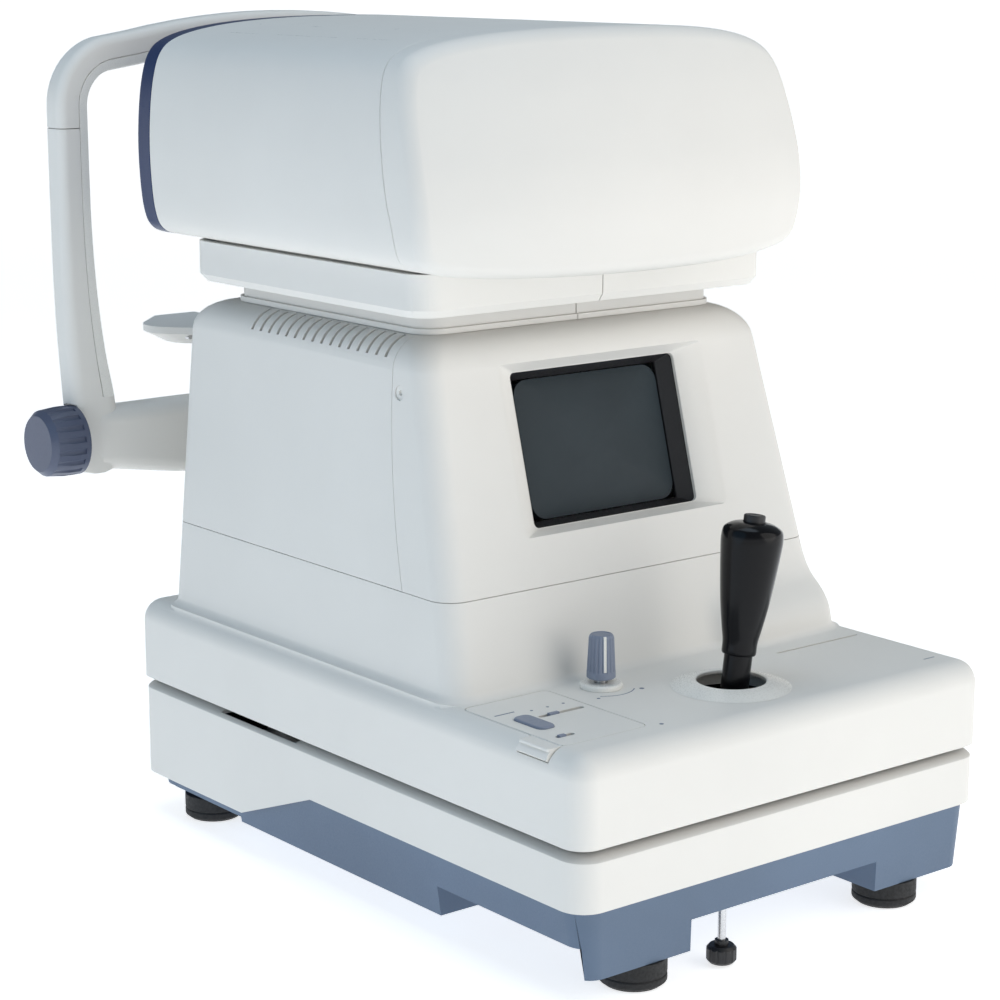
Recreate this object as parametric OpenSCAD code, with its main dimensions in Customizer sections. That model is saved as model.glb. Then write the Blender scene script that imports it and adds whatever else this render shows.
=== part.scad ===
// Tabletop autorefractor: base with face frame, sliding stage with tower, lifting measuring head.
// X is sideways, the operator sits at the low Y end, the patient at the high Y end, the table is Z 0.

/* [Base] */
// Width of the lower base cover
base_w = 275; // [262:1:288]
// Depth of the lower base cover, and of the stage above it
base_d = 387; // [383:1:391]
// Height of the seam between the tray and the base cover
seam_z = 49; // [47:0.5:50]
// Height of the base cover's vertical side
cover_side_h = 26; // [25:0.5:27]
// Bottom of the foot blocks, which is the top of the rubber feet
block_z = 14; // [12:0.5:16]
// Radius of a rubber foot
foot_r = 16.7; // [14:0.1:18]

/* [Stage] */
// Underside of the sliding stage
stage_z = 80; // [79:0.5:81]
// Top of the control deck
deck_z = 124.5; // [122:0.5:126]
// Sideways travel of the stage to each side
stage_travel_x = 43; // [30:1:43]
// Fore and aft travel of the stage each way
stage_travel_y = 20; // [15:1:20]

/* [Tower] */
// Half width of the tower where it meets the deck
tower_half = 129; // [127:0.5:130]
// Front of the tower where it meets the deck
tower_front_y = 103.5; // [102:0.5:105]
// Rear wall of the tower
tower_rear_y = 366; // [362:1:368]
// Height of the parting line between the stage cover and the tower covers
split_z = 171.6; // [170:0.2:174]
// Top of the tower
tower_top_z = 295.5; // [294:0.5:297]
// Sideways taper of each tower side, per millimetre of height
side_taper = 0.09; // [0.08:0.005:0.1]
// Backward lean of the tower front, per millimetre of height
front_lean = 0.275; // [0.26:0.005:0.29]

/* [Head] */
// Underside of the measuring head
head_z = 329; // [328:0.5:331]
// Crown of the measuring head
head_top_z = 446.5; // [445:0.5:447]
// Widest half width of the head
head_half = 130.6; // [129:0.2:132]
// Foremost point of the bowed front cap
head_front_y = 106; // [104:0.5:108]
// Lower end of the joint between the front cap and the head shell
cap_joint_y = 152.4; // [151:0.2:153]
// Patient end of the head
head_rear_y = 387; // [384:0.5:389]
// Downward travel of the head
lift_down = 8; // [5:0.5:8]
// Upward travel of the head
lift_up = 22; // [15:0.5:22]

/* [Face frame] */
// Half width of the face frame
frame_half = 155; // [150:0.5:156]
// Top of the forehead arch
frame_top_z = 448; // [447:0.5:449]
// Operator side of the face frame
frame_y = 434; // [432:0.5:436]
// Height of the chin rest knob's axis
knob_z = 208; // [206:0.5:210]
// Patient end of the chin rest
chin_rear_y = 500; // [496:0.5:504]

/* [Joystick] */
// Sideways lean of the resting joystick, in degrees
stick_lean = 7.6; // [0:0.2:8]
// Sideways place of the joystick pivot
stick_x = 1; // [-2:0.5:4]
// Fore and aft place of the joystick pivot
stick_y = 47; // [45:0.5:49]

/* [Hidden] */

wall = 3;
gap = 0.3;
base_half = base_w / 2;
stage_half = base_half + 0.5;
cover_top_z = seam_z + cover_side_h + 2.5;
edge_r = 12;

// Knob, pinion and post of the chin rest
knob_y = 440;
knob_r = 20;
knob_in_x = 144.5;
knob_out_x = 168;
pinion_teeth = 16;
chin_rack_y = knob_y + pinion_teeth / 2;
post_y = chin_rack_y + 8.5;
chin_rest_z = 252;
// Radius of the shallow crown of the arch over the forehead
crown_r = 508;
// Width of the face frame's bars
bar_w = 19.5;

// The origin is under the middle of the whole object's outline
mid_x = (frame_half - knob_out_x) / 2;
mid_y = chin_rear_y / 2;

// Rack wheels and cross shaft under the stage
wheel_teeth = 18;
wheel_x = 105;
shaft_y = 215;
shaft_z = 60;
shaft_r = 5;
rack_z = shaft_z - wheel_teeth / 2;
// Front to back place of the transport screw, and of the rear feet
screw_foot_y = 7.5;
rear_foot_y = 350;
// Place of the data socket, in the recess under the tray's left side
socket_x = 112;
socket_y = 62;

// Guide columns and lift screw inside the tower
column_x = 84;
column_ys = [200, 310];
column_r = 6;
lift_x = 84;
lift_y = 255;
plate_z = head_z + lift_down + 6;
// Half width of the flat floor inside the head that the chassis stands on
head_ledge_x = 110;
// Depth of the navy rear panel's rim
rear_rim = 15;
upper_skirt_y = 146;

// Screen, leaning with the tower front
lean = atan(front_lean);
screen_z = 236;
screen_y = tower_front(screen_z) + 8.6;
screen_w = 112;
screen_h = 80;
screw_y = 165;
screw_z = 269;

// Joystick, measured along its own axis from the pivot
pivot_z = 105;
stem_ball_s = -21.2;

// Control panel and printer lids in the deck
lid_x0 = -128.5;
lid_x1 = -76;
lid_y0 = 23;
lid_y1 = 99;
lid_t = 1.8;
lid_pin_r = 0.6;
paper_x0 = 62;
paper_x1 = 122;
paper_y = 76;
button_at = [-116, 59.5];
slot_at = [-94, 65.5];
small_slot_at = [-117, 35.5];
bright_at = [-51, 86];

function tower_half_at(z) = tower_half - side_taper * (z - deck_z);
function tower_front(z) = tower_front_y + front_lean * (z - deck_z);
function roll_deg(r, base_r) = let (a = acos(min(1, base_r / r))) tan(a) * 180 / PI - a;

// Involute gear outline; each flank has four points, with a little play at the pitch line
function gear_outline(teeth, module_mm) =
    let (
        pitch_r = teeth * module_mm / 2,
        base_r = pitch_r * cos(20),
        root_r = pitch_r - 1.25 * module_mm,
        tip_r = pitch_r + 0.9 * module_mm,
        low_r = max(base_r, root_r + 0.1),
        half = 90 / teeth - 1.2 * module_mm / pitch_r * 180 / PI * 0.06 + roll_deg(pitch_r, base_r),
        radii = [for (k = [0:3]) low_r + (tip_r - low_r) * k / 3]
    )
    [for (i = [0:teeth - 1], side = [-1, 1], k = [-1:3])
        let (
            j = side < 0 ? k : 2 - k,
            r = j < 0 ? root_r : radii[j],
            a = i * 360 / teeth + side * (half - roll_deg(max(r, low_r), base_r))
        )
        r * [cos(a), sin(a)]
    ];

// Rack outline along X with tooth spaces centred on the origin, teeth pointing to +Y
function rack_outline(spaces, module_mm, back) =
    let (
        pitch = PI * module_mm,
        half = pitch / 4 - 0.07 * module_mm,
        tip = 0.9 * module_mm,
        root = 1.25 * module_mm,
        slope = tan(20),
        end_x = pitch * (spaces + 0.5)
    )
    concat(
        [[-end_x, -back], [-end_x, -root]],
        [for (i = [-spaces:spaces - 1], p = [[-half - root * slope, -root], [-half + tip * slope, tip],
            [half - tip * slope, tip], [half + root * slope, -root]])
            [pitch * (i + 0.5) + p[0], p[1]]
        ],
        [[end_x, -root], [end_x, -back]]
    );

// Everything is drawn with the front middle of the base at X 0, Y 0 and moved to the origin here
module placed() {
    translate([-mid_x, -mid_y, 0]) children();
}

module plan(half, y0, y1, r) {
    translate([-half + r, y0]) square([2 * (half - r), y1 - y0]);
    translate([-half, y0 + r]) square([2 * half, y1 - y0 - 2 * r]);
    for (x = [-half + r, half - r], y = [y0 + r, y1 - r]) {
        translate([x, y]) circle(r, $fn = 48);
    }
}

module slab(half, y0, y1, r, z0, z1) {
    translate([0, 0, z0]) linear_extrude(z1 - z0) plan(half, y0, y1, r);
}

module block(x0, x1, y0, y1, z0, z1) {
    translate([x0, y0, z0]) cube([x1 - x0, y1 - y0, z1 - z0]);
}

module along_x(x0, x1) {
    translate([x0, 0, 0]) rotate([90, 0, 90]) linear_extrude(x1 - x0) children();
}

module along_y(y0, y1) {
    translate([0, y1, 0]) rotate([90, 0, 0]) linear_extrude(y1 - y0) children();
}

module rod_x(x0, x1, y, z, r) {
    translate([x0, y, z]) rotate([0, 90, 0]) cylinder(h = x1 - x0, r = r, $fn = 48);
}

module rod_y(x, y0, y1, z, r) {
    translate([x, y1, z]) rotate([90, 0, 0]) cylinder(h = y1 - y0, r = r, $fn = 48);
}

module rod_z(x, y, z0, z1, r) {
    translate([x, y, z0]) cylinder(h = z1 - z0, r = r, $fn = 48);
}

module both_sides() {
    children();
    mirror([1, 0, 0]) children();
}

// ---- Base ----

module tray_zones() {
    block(-base_half, base_half, 0, base_d, block_z + 16, seam_z - gap);
    both_sides() block(64, 104, 0, 36, block_z, seam_z - gap);
    block(104, base_half, 0, 36, block_z, seam_z - gap);
    block(-base_half, -104, 0, 8, block_z, seam_z - gap);
    block(-base_half, base_half, 115, 295, block_z, seam_z - gap);
    block(-base_half + 12, base_half - 12, 295, 370, block_z, seam_z - gap);
    block(-base_half, base_half, 295, 380, block_z + 3, seam_z - gap);
}

module bottom_tray() {
    color("slategray") placed() difference() {
        intersection() {
            hull() {
                slab(base_half - 3, 3, base_d - 3, 13, seam_z - 1, seam_z - gap);
                slab(base_half - 8, 4, base_d - 10, 10, block_z, block_z + 0.1);
            }
            tray_zones();
        }
        slab(base_half - 10, 12, base_d - 13, 8, block_z + 20, seam_z + 1);
        translate([-40, screw_foot_y, 0]) cylinder(h = 60, r = 3.1, $fn = 32);
        block(-50, 50, base_d - 30, base_d, block_z + 15, seam_z);
        for (x = [-87.4, 87.4]) rod_z(x, 19.1, block_z - 1, block_z + 6, 4.05);
        for (x = [-112, 112]) rod_z(x, rear_foot_y, block_z - 1, block_z + 6, 4.05);
        rod_z(-socket_x, socket_y, block_z + 15, seam_z, 7.05);
        block(-115.3, -64.7, base_d - 30, base_d + 1, 37.7, seam_z);
    }
}

module side_outline() {
    polygon([[-1, seam_z], [217, seam_z], [283, seam_z - 25], [base_d + 1, seam_z - 25],
        [base_d + 1, cover_top_z + 1], [-1, cover_top_z + 1]]);
}

module base_cover() {
    color("ivory") placed() difference() {
        intersection() {
            hull() {
                slab(base_half, 0, base_d, 14, seam_z - 25, seam_z + cover_side_h - 1.5);
                slab(base_half - 1.5, 1.5, base_d - 1.5, 13, seam_z + cover_side_h - 1, seam_z + cover_side_h);
                slab(base_half - 9, 9, base_d - 9, 10, cover_top_z - 0.1, cover_top_z);
            }
            along_x(-base_half - 1, base_half + 1) side_outline();
        }
        slab(base_half - 2.6, 2.6, base_d - 2.6, 12, 0, seam_z + 0.01);
        slab(base_half - wall, wall, base_d - wall, 11, seam_z, seam_z + cover_side_h - 1);
        block(-97, 97, 178, 252, 60, 90);
        block(-135, -115, 233, 305, 60, 90);
        block(-50, 50, base_d - 10, base_d + 1, 20, 66);
        block(-115.2, -64.8, base_d - 10, base_d + 1, 37.8, 62.2);
    }
}

module base_plate() {
    color("silver") placed() difference() {
        slab(120, 16, 370, 6, 34.3, 38);
        rod_z(-socket_x, socket_y, 30, 40, 7.6);
    }
}

module rubber_feet() {
    color([0.08, 0.08, 0.08]) placed() {
        for (p = [[-87.4, 19.1], [87.4, 19.1], [-112, rear_foot_y], [112, rear_foot_y]]) {
            translate([p[0], p[1], 0]) rotate_extrude($fn = 64) polygon([[0, 0], [foot_r - 2.5, 0], [foot_r, 2],
                [foot_r, 5], [foot_r - 0.8, 5.5], [foot_r, 6], [foot_r, block_z - 0.05], [4, block_z - 0.05],
                [4, block_z + 5], [0, block_z + 5]]);
        }
    }
}

module guide_racks() {
    color("silver") placed() both_sides() {
        translate([wheel_x - 4, shaft_y, rack_z]) rotate([0, 0, 90]) rotate([90, 0, 0])
            linear_extrude(8) rack_outline_shape(22, 1, rack_z - 38.05);
    }
}

module rack_outline_shape(spaces, module_mm, back) {
    polygon(rack_outline(spaces, module_mm, back));
}

module power_supply() {
    color("gray") placed() block(-60, 60, 280, 340, 38.1, 68);
}

module power_inlet() {
    color([0.1, 0.1, 0.1]) placed() difference() {
        union() {
            block(-115, -65, base_d - 22, base_d + 0.5, 38, 62);
            block(-118, -62, base_d + 0.05, base_d + 2, 35, 65);
        }
        block(-112, -88, base_d - 14, base_d + 3, 42.5, 57.5);
        block(-84.2, -67.8, base_d - 14, base_d + 3, 39.8, 60.2);
        rod_x(-86.3, -65.9, base_d - 2, 50, 1.55);
    }
}

// Drawn with its lower half pressed in, as it rests
module power_rocker() {
    color([0.08, 0.08, 0.08]) placed() translate([-76, base_d - 2, 50]) union() {
        rotate([-7, 0, 0]) along_x(-7.6, 7.6)
            polygon([[-5, -7], [2, -9], [3.6, -9], [2.2, 0], [3.6, 9], [2, 9], [-5, 7]]);
        rod_x(-10, 9.8, 0, 0, 1.5);
    }
}

module data_socket() {
    color([0.12, 0.12, 0.12]) placed() difference() {
        rod_z(-socket_x, socket_y, block_z + 16.5, block_z + 26, 7);
        rod_z(-socket_x, socket_y, block_z + 16, block_z + 24, 5.5);
    }
}

// ---- Column, face frame and chin rest ----

module support_column() {
    color("silver") placed() difference() {
        union() {
            block(-40, 40, 372, 452, 31, 34);
            block(-40, 40, base_d - 2, 452, 34, 60);
            block(-26, 26, 422, 452, 60, 188.15);
        }
        block(-34, 34, 372, 420, 36, 57);
        rod_z(0, post_y, 90, 190, 14);
        block(-20, 20, 427, 447, 66, 190);
    }
}

module column_cover() {
    color("ivory") placed() difference() {
        hull() {
            slab(46, 415, 474, 10, 20, 60);
            slab(42, 416, 474, 10, 187, 188);
        }
        block(-41, 41, 400, 453, 10, 61);
        hull() {
            slab(41, 420, 469, 8, 50, 60);
            slab(38, 420, 469, 8, 188, 189);
        }
    }
}

// Half outline of the frame, from the joint down to the beam, as seen from the operator
module post_outline() {
    polygon([[frame_half - 4.5, 384.8], [frame_half - 24, 384.8], [frame_half - 24.5, 330],
        [frame_half - 28, 280],
        [frame_half - 38, 229], [frame_half - 38, 192], [frame_half - 30, 187], [frame_half - 16, 187.5],
        [frame_half - 11, 192], [frame_half - 6, 262], [frame_half - 4.6, 330]]);
}

module crossbeam_and_posts() {
    color("ivory") placed() difference() {
        union() {
            both_sides() along_y(frame_y, frame_y + 18) post_outline();
            both_sides() hull() {
                block(40, frame_half - 37, frame_y + 2, frame_y + 20, 191, 225);
                block(40, frame_half - 40, frame_y - 4, frame_y + 22, 195, 221);
            }
            both_sides() hull() {
                block(43.2, 50, frame_y, frame_y + 18, 178, 200);
                block(frame_half - 30, frame_half - 22, frame_y + 1, frame_y + 17, 189, 200);
            }
            block(-40.5, 40.5, 424, 474, 188.2, 228);
        }
        rod_z(0, post_y, 180, 240, 8.05);
        block(-5.4, 5.4, chin_rack_y - 1.4, post_y, 180, 240);
        block(-12, 12, 427.5, post_y - 3, 190, 225);
        rod_x(-160, 20, knob_y, knob_z, 4.05);
        rod_x(-160, -knob_in_x + gap, knob_y, knob_z, knob_r + 1);
        trim_channel();
    }
}

module arch_outline(grow) {
    hull() {
        both_sides() translate([frame_half - 43.5, frame_top_z - 51]) circle(39 + grow, $fn = 64);
        both_sides() translate([frame_half - 30, 385.2]) square([25.5 + grow, 1]);
        translate([0, frame_top_z - crown_r]) intersection() {
            circle(crown_r + grow, $fn = 360);
            translate([-108, crown_r - 28]) square([216, 40]);
        }
    }
}

module forehead_arch() {
    color("ivory") placed() difference() {
        along_y(frame_y, frame_y + 18) intersection() {
            arch_outline(0);
            translate([-200, 385.2]) square([400, 100]);
        }
        along_y(frame_y - 1, frame_y + 19) translate([0, -0.2]) intersection() {
            arch_outline(-bar_w);
            translate([-200, 380]) square([400, 100]);
        }
        trim_channel();
    }
}

// Band let into the operator side of the frame, following the outer edge down to a round end
module trim_band(slack) {
    difference() {
        intersection() {
            arch_outline(-13 + slack);
            translate([-200, 385]) square([400, 100]);
        }
        arch_outline(-18 - slack);
    }
    both_sides() {
        translate([0, 1]) polygon([[frame_half - 17.5 + slack, 385], [frame_half - 22.5 - slack, 385],
            [frame_half - 22 - slack, 330], [frame_half - 24 - slack, 262], [frame_half - 26 - slack, 228],
            [frame_half - 21 + slack, 228], [frame_half - 19 + slack, 262], [frame_half - 17 + slack, 330]]);
        translate([frame_half - 23.5, 229]) circle(2.5 + slack, $fn = 32);
    }
}

module trim_channel() {
    along_y(frame_y - 1, frame_y + 1.2) trim_band(0.4);
}

module frame_trim_strip() {
    color("whitesmoke") placed() along_y(frame_y + 0.1, frame_y + 1.15) trim_band(0);
}

module forehead_pad() {
    color("whitesmoke") placed() along_y(frame_y + 18.1, frame_y + 25) intersection() {
        difference() {
            arch_outline(-3);
            arch_outline(-19);
        }
        translate([-80, 400]) square([160, 60]);
    }
}

module chin_post() {
    color("silver") placed() union() {
        difference() {
            rod_z(0, post_y, 130, chin_rest_z - 0.05, 8);
            block(-9, 9, post_y - 9, chin_rack_y + 1.3, 140, 238);
        }
        translate([-5, chin_rack_y, knob_z - 6 * PI]) rotate([90, -90, 90])
            linear_extrude(10) rack_outline_shape(14, 1, 4);
    }
}

module chin_rest() {
    color("ivory") placed() difference() {
        union() {
            hull() {
                translate([0, chin_rear_y - 34, chin_rest_z + 9]) scale_disc(78, 34, 4);
                translate([0, chin_rear_y - 34, chin_rest_z + 2]) scale_disc(64, 30, 1);
            }
            hull() {
                translate([0, chin_rear_y - 34, chin_rest_z + 2]) scale_disc(50, 26, 2);
                rod_z(0, post_y, chin_rest_z - 10, chin_rest_z - 8, 12);
            }
        }
        translate([0, chin_rear_y - 26, chin_rest_z + 47]) rotate([90, 0, 0])
            cylinder(h = 120, r = 42, center = true, $fn = 96);
        rod_z(0, post_y, chin_rest_z - 20, chin_rest_z, 8.05);
        for (x = [-62, 62]) rod_y(x, 430, 456, chin_rest_z + 7, 1.55);
    }
}

module scale_disc(rx, ry, h) {
    linear_extrude(h) hull() {
        both_sides() translate([rx - ry * 0.6, 0]) circle(ry * 0.6, $fn = 48);
        translate([0, 0]) square([2 * (rx - ry * 0.75), 2 * ry], center = true);
    }
}

module chin_pins() {
    color("silver") placed() for (x = [-62, 62]) {
        rod_y(x, 444.5, 455.9, chin_rest_z + 7, 1.5);
    }
}

module chin_knob() {
    color([0.17, 0.2, 0.27]) placed() difference() {
        translate([-knob_in_x, knob_y, knob_z]) rotate([0, -90, 0]) difference() {
            rotate_extrude($fn = 96) polygon([[0, 0], [knob_r, 0], [knob_r, 10], [knob_r - 1, 20],
                [knob_r - 4, knob_out_x - knob_in_x], [0, knob_out_x - knob_in_x]]);
            for (a = [0:20:340]) rotate([0, 0, a]) translate([knob_r + 0.8, 0, 3])
                cylinder(h = 30, r = 2, $fn = 24);
        }
        rod_x(-knob_in_x - 12, -knob_in_x + 1, knob_y, knob_z, 4.02);
    }
}

module chin_shaft() {
    color("silver") placed() union() {
        rod_x(-knob_in_x - 11, 18, knob_y, knob_z, 4);
        translate([-5, knob_y, knob_z]) rotate([90, 0, 90]) linear_extrude(10)
            rotate([0, 0, 0]) polygon(gear_outline(pinion_teeth, 1));
    }
}

module transport_screw() {
    color("silver") placed() rod_z(-40, screw_foot_y, 12, 46, 2);
}

module transport_knob() {
    color([0.1, 0.08, 0.07]) placed() difference() {
        translate([-40, screw_foot_y, 1.5]) rotate_extrude($fn = 48)
            polygon([[0, 0], [6, 0], [7.4, 1.6], [7.4, 7.4],
            [6, 9], [3.4, 9], [3.4, 11.5], [0, 11.5]]);
        for (a = [0:30:330]) translate([-40, screw_foot_y, 0]) rotate([0, 0, a]) translate([7.9, 0, 1])
            cylinder(h = 12, r = 0.9, $fn = 16);
        rod_z(-40, screw_foot_y, 11, 15, 2.02);
    }
}

// ---- Carriage ----

module cross_shaft() {
    color("silver") placed() rod_x(-wheel_x - 9, wheel_x + 9, shaft_y, shaft_z, shaft_r);
}

module rack_wheels() {
    color("goldenrod") placed() for (x = [-wheel_x - 4, wheel_x - 4]) difference() {
        translate([x, shaft_y, shaft_z]) rotate([90, 0, 90]) linear_extrude(8)
            rotate([0, 0, -90]) polygon(gear_outline(wheel_teeth, 1));
        rod_x(x - 1, x + 9, shaft_y, shaft_z, shaft_r + 0.05);
    }
}

// ---- Stage ----

module stage_chassis() {
    color("silver") placed() difference() {
        union() {
            slab(stage_half - 8, 8, base_d - 8, 8, stage_z + 2, stage_z + 6);
            for (x = [-40, 40]) block(x - 11, x + 11, shaft_y - 13, shaft_y + 13, shaft_z - 11, stage_z + 3);
            for (y = column_ys) rod_z(-column_x, y, stage_z + 5, stage_z + 30, 12);
            rod_z(column_x, column_ys[1], stage_z + 5, stage_z + 30, 12);
        }
        for (x = [-40, 40]) rod_x(x - 12, x + 12, shaft_y, shaft_z, 8);
        rod_z(stick_x, stick_y, stage_z, stage_z + 10, 15);
        for (y = column_ys) rod_z(-column_x, y, stage_z + 10, stage_z + 40, column_r);
        rod_z(column_x, column_ys[1], stage_z + 10, stage_z + 40, column_r);
    }
}

module shaft_bushes() {
    color("darkgoldenrod") placed() for (x = [-40, 40]) difference() {
        rod_x(x - 11, x + 11, shaft_y, shaft_z, 7.95);
        rod_x(x - 12, x + 12, shaft_y, shaft_z, shaft_r + 0.05);
    }
}

module stage_box(inset, z0) {
    r = edge_r - inset / 2;
    hull() {
        slab(stage_half - inset, inset, base_d - inset, r, z0, deck_z - inset - r);
        for (x = [-1, 1], y = [inset + r, base_d - inset - r]) {
            translate([x * (stage_half - inset - r), y, deck_z - inset - r]) sphere(r, $fn = 48);
        }
    }
}

module tower_slab(z, inset) {
    slab(tower_half_at(z) - inset, tower_front(z) + inset, tower_rear_y - inset, 13 - inset, z, z + 0.1);
}

module lower_tower(inset, z0, z1) {
    hull() {
        tower_slab(z0, inset);
        tower_slab(z1 - 0.1, inset);
    }
}

// Swelling over the printer on the right of the tower front, fading out towards the middle
module printer_cheek(inset) {
    front = [[tower_front_y + 0.5, tower_front_y + 14], [90, 104], [94, 108]];
    xs = [44, 64, 127];
    hull() for (i = [0:2]) {
        x = xs[i] + (i < 2 ? inset : -inset);
        y = front[i][0] + inset;
        top = i == 0 ? y + 9 : front[i][1] + inset;
        along_x(x, x + 0.1) polygon([[y, deck_z - 2], [y + 0.6, deck_z + 7], [(y + top) / 2 - 3, 141 - inset],
            [top, 151 - inset], [top + 9, 158 - inset], [top + 20, split_z - gap - 6 - inset],
            [140, split_z - gap - 6 - inset], [140, deck_z - 2]]);
    }
}

module stage_cover() {
    color("ivory") placed() difference() {
        union() {
            stage_box(0, stage_z);
            lower_tower(0, deck_z - 2, split_z - gap);
            printer_cheek(0);
        }
        stage_box(wall, stage_z - 1);
        lower_tower(wall, deck_z - 6, split_z + 5);
        printer_cheek(wall);
        rod_z(stick_x, stick_y, deck_z - 5, deck_z + 5, 26);
        rod_z(bright_at[0], bright_at[1], deck_z - 5, deck_z + 5, 9);
        block(lid_x0 - gap, lid_x1 + gap, lid_y0 - gap, lid_y1 + gap, deck_z - lid_t - gap, deck_z + 5);
        block(lid_x0 + 3, lid_x1 - 3, lid_y0 + 3, lid_y1 - 3, deck_z - 5, deck_z);
        rod_y(lid_x1 - lid_t / 2, lid_y0 - 2.3, lid_y1 + 2.3, deck_z - lid_t / 2, lid_pin_r + 0.05);
        block(-stage_half - 1, lid_x0 + 1, 24, 47, deck_z - 7, deck_z + 5);
        block(paper_x0, paper_x1, paper_y - 0.8, paper_y + 0.8, deck_z - 5, deck_z + 5);
    }
}

module tower_body(inset) {
    top_r = 16 - inset;
    z1 = tower_top_z - inset - top_r;
    hull() {
        tower_slab(split_z, inset);
        for (x = [-1, 1]) {
            translate([x * (tower_half_at(z1) - 1 - inset - top_r), tower_front(z1) + inset + top_r + 1, z1])
                sphere(top_r, $fn = 48);
            translate([x * (tower_half_at(z1) - 1 - inset - top_r), tower_rear_y - inset - 22, z1 - 6])
                rotate([0, 0, 0]) sphere(22 - inset, $fn = 48);
        }
        slab(80, 190, 330, 10, tower_top_z - inset - 0.2, tower_top_z - inset);
    }
}

// The seam between bezel and rear cover is a shallow arc seen from the side
module seam_drum(extra) {
    translate([0, -228, 297]) rotate([0, 90, 0]) cylinder(h = 300, r = 400 + extra, center = true, $fn = 360);
}

module tower_top_opening() {
    block(-94.5, 94.5, 172, 330, tower_top_z - 20, tower_top_z + 10);
}

module tower_rear_cover() {
    color("ivory") placed() difference() {
        tower_body(0);
        tower_body(wall);
        seam_drum(gap);
        tower_top_opening();
        block(-130, 130, 100, 400, split_z - 1, split_z + gap / 2);
        both_sides() for (i = [0:15]) {
            translate([108, 180 + i * 8, 291]) rotate([0, 45, 0]) cube([22, 2.6, 16], center = true);
        }
    }
}

module at_screen() {
    translate([0, screen_y, screen_z]) rotate([-lean, 0, 0]) children();
}

module frame_rect(w, h, y) {
    translate([-w / 2, y, -h / 2]) cube([w, 0.1, h]);
}

module tower_front_bezel() {
    color("ivory") placed() difference() {
        union() {
            difference() {
                intersection() {
                    tower_body(0);
                    seam_drum(0);
                }
                tower_body(wall);
                tower_top_opening();
                block(-130, 130, 90, 400, split_z - 1, split_z + gap / 2);
            }
            at_screen() hull() {
                frame_rect(142, 90, -7);
                frame_rect(120, 86, 2);
            }
        }
        at_screen() hull() {
            frame_rect(140.5, 88, -9.8);
            frame_rect(screen_w, screen_h, 0);
        }
        at_screen() translate([-screen_w / 2, -1, -screen_h / 2]) cube([screen_w, 10, screen_h]);
        both_sides() rod_x(100, 130, screw_y, screw_z, 3.8);
    }
}

module screen_surround() {
    color([0.05, 0.05, 0.06]) placed() at_screen() difference() {
        translate([-62, 2.4, -44]) cube([124, 8, 88]);
        hull() {
            frame_rect(screen_w, screen_h, 2);
            frame_rect(98, 73, 8);
        }
        translate([-49, 5, -36.5]) cube([98, 10, 73]);
    }
}

module picture_tube() {
    color([0.17, 0.21, 0.25]) placed() at_screen() union() {
        hull() {
            frame_rect(116, 82, 11);
            frame_rect(116, 82, 24);
            translate([0, 90, 0]) rotate([90, 0, 0]) cylinder(h = 1, r = 22, $fn = 32);
        }
        intersection() {
            translate([0, 300, 0]) sphere(293, $fn = 200);
            translate([-47.5, 0, -35]) cube([95, 14, 70]);
        }
        rod_y(0, 89, 150, 0, 12);
    }
}

module main_board() {
    color("darkgreen") placed() block(-60, 60, 352, 354, 100, 240);
}

module switch_board() {
    color("darkgreen") placed() union() {
        block(lid_x0 + 1.5, lid_x1 - 1.5, lid_y0 + 2, lid_y1 - 2, deck_z - 9, deck_z - 7.4);
        for (x = [lid_x0 + 5, lid_x1 - 5], y = [lid_y0 + 8, lid_y1 - 6]) {
            rod_z(x, y, stage_z + 6.05, deck_z - 8, 2.5);
        }
    }
}

module lower_skirt() {
    color("ivory") placed() difference() {
        union() {
            slab(99.5, 165.5, 342, 14, tower_top_z + 0.05, tower_top_z + 3);
            slab(98, 167, 340, 13, tower_top_z + 0.05, head_z + 4);
        }
        slab(95, 170, 337, 10, tower_top_z - 1, head_z + 5);
        block(-0.3, 0.3, 160, 350, tower_top_z - 1, head_z + 5);
    }
}

module guide_columns() {
    color("silver") placed() {
        for (y = column_ys) rod_z(-column_x, y, stage_z + 10.05, 350, column_r);
        rod_z(column_x, column_ys[1], stage_z + 10.05, 350, column_r);
    }
}

module joystick_collar() {
    color("ivory") placed() translate([stick_x, stick_y, 0]) rotate_extrude($fn = 96)
        polygon([[17.5, deck_z + 3.2], [19, deck_z + 3.6], [24, deck_z + 2.4], [30.5, deck_z + 0.05],
            [25.8, deck_z + 0.05], [25.8, deck_z - 6], [24, deck_z - 6], [24, deck_z - 1], [17.5, deck_z + 1.6]]);
}

module gimbal_frame() {
    color("gray") placed() difference() {
        union() {
            for (x = [stick_x - 28, stick_x + 23])
                block(x, x + 5, stick_y - 6, stick_y + 6, stage_z + 6.05, pivot_z + 7);
        }
        rod_x(stick_x - 29, stick_x + 29, stick_y, pivot_z, 2.05);
    }
}

module knob_collar() {
    color("white") placed() translate([bright_at[0], bright_at[1], 0]) rotate_extrude($fn = 64)
        polygon([[3.3, deck_z - 4], [8.8, deck_z - 4], [8.8, deck_z + 0.05], [10.8, deck_z + 0.05],
            [10.8, deck_z + 2], [10, deck_z + 2.8], [3.3, deck_z + 2.8]]);
}

module printer_mechanism() {
    color("dimgray") placed() union() {
        block(62, 122, 84, 100, 98, 120.5);
        difference() {
            union() {
                for (x = [60, 121]) {
                    block(x, x + 2.5, 84, 150, stage_z + 6.05, 120.5);
                    block(x, x + 2.5, 118, 146, 119, 130);
                }
            }
            rod_x(50, 130, 132, 122, 3.05);
        }
    }
}

module paper_roll() {
    color("white") placed() union() {
        rod_x(63, 120.4, 132, 122, 21);
        rod_x(60, 123.5, 132, 122, 3);
    }
}

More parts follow.
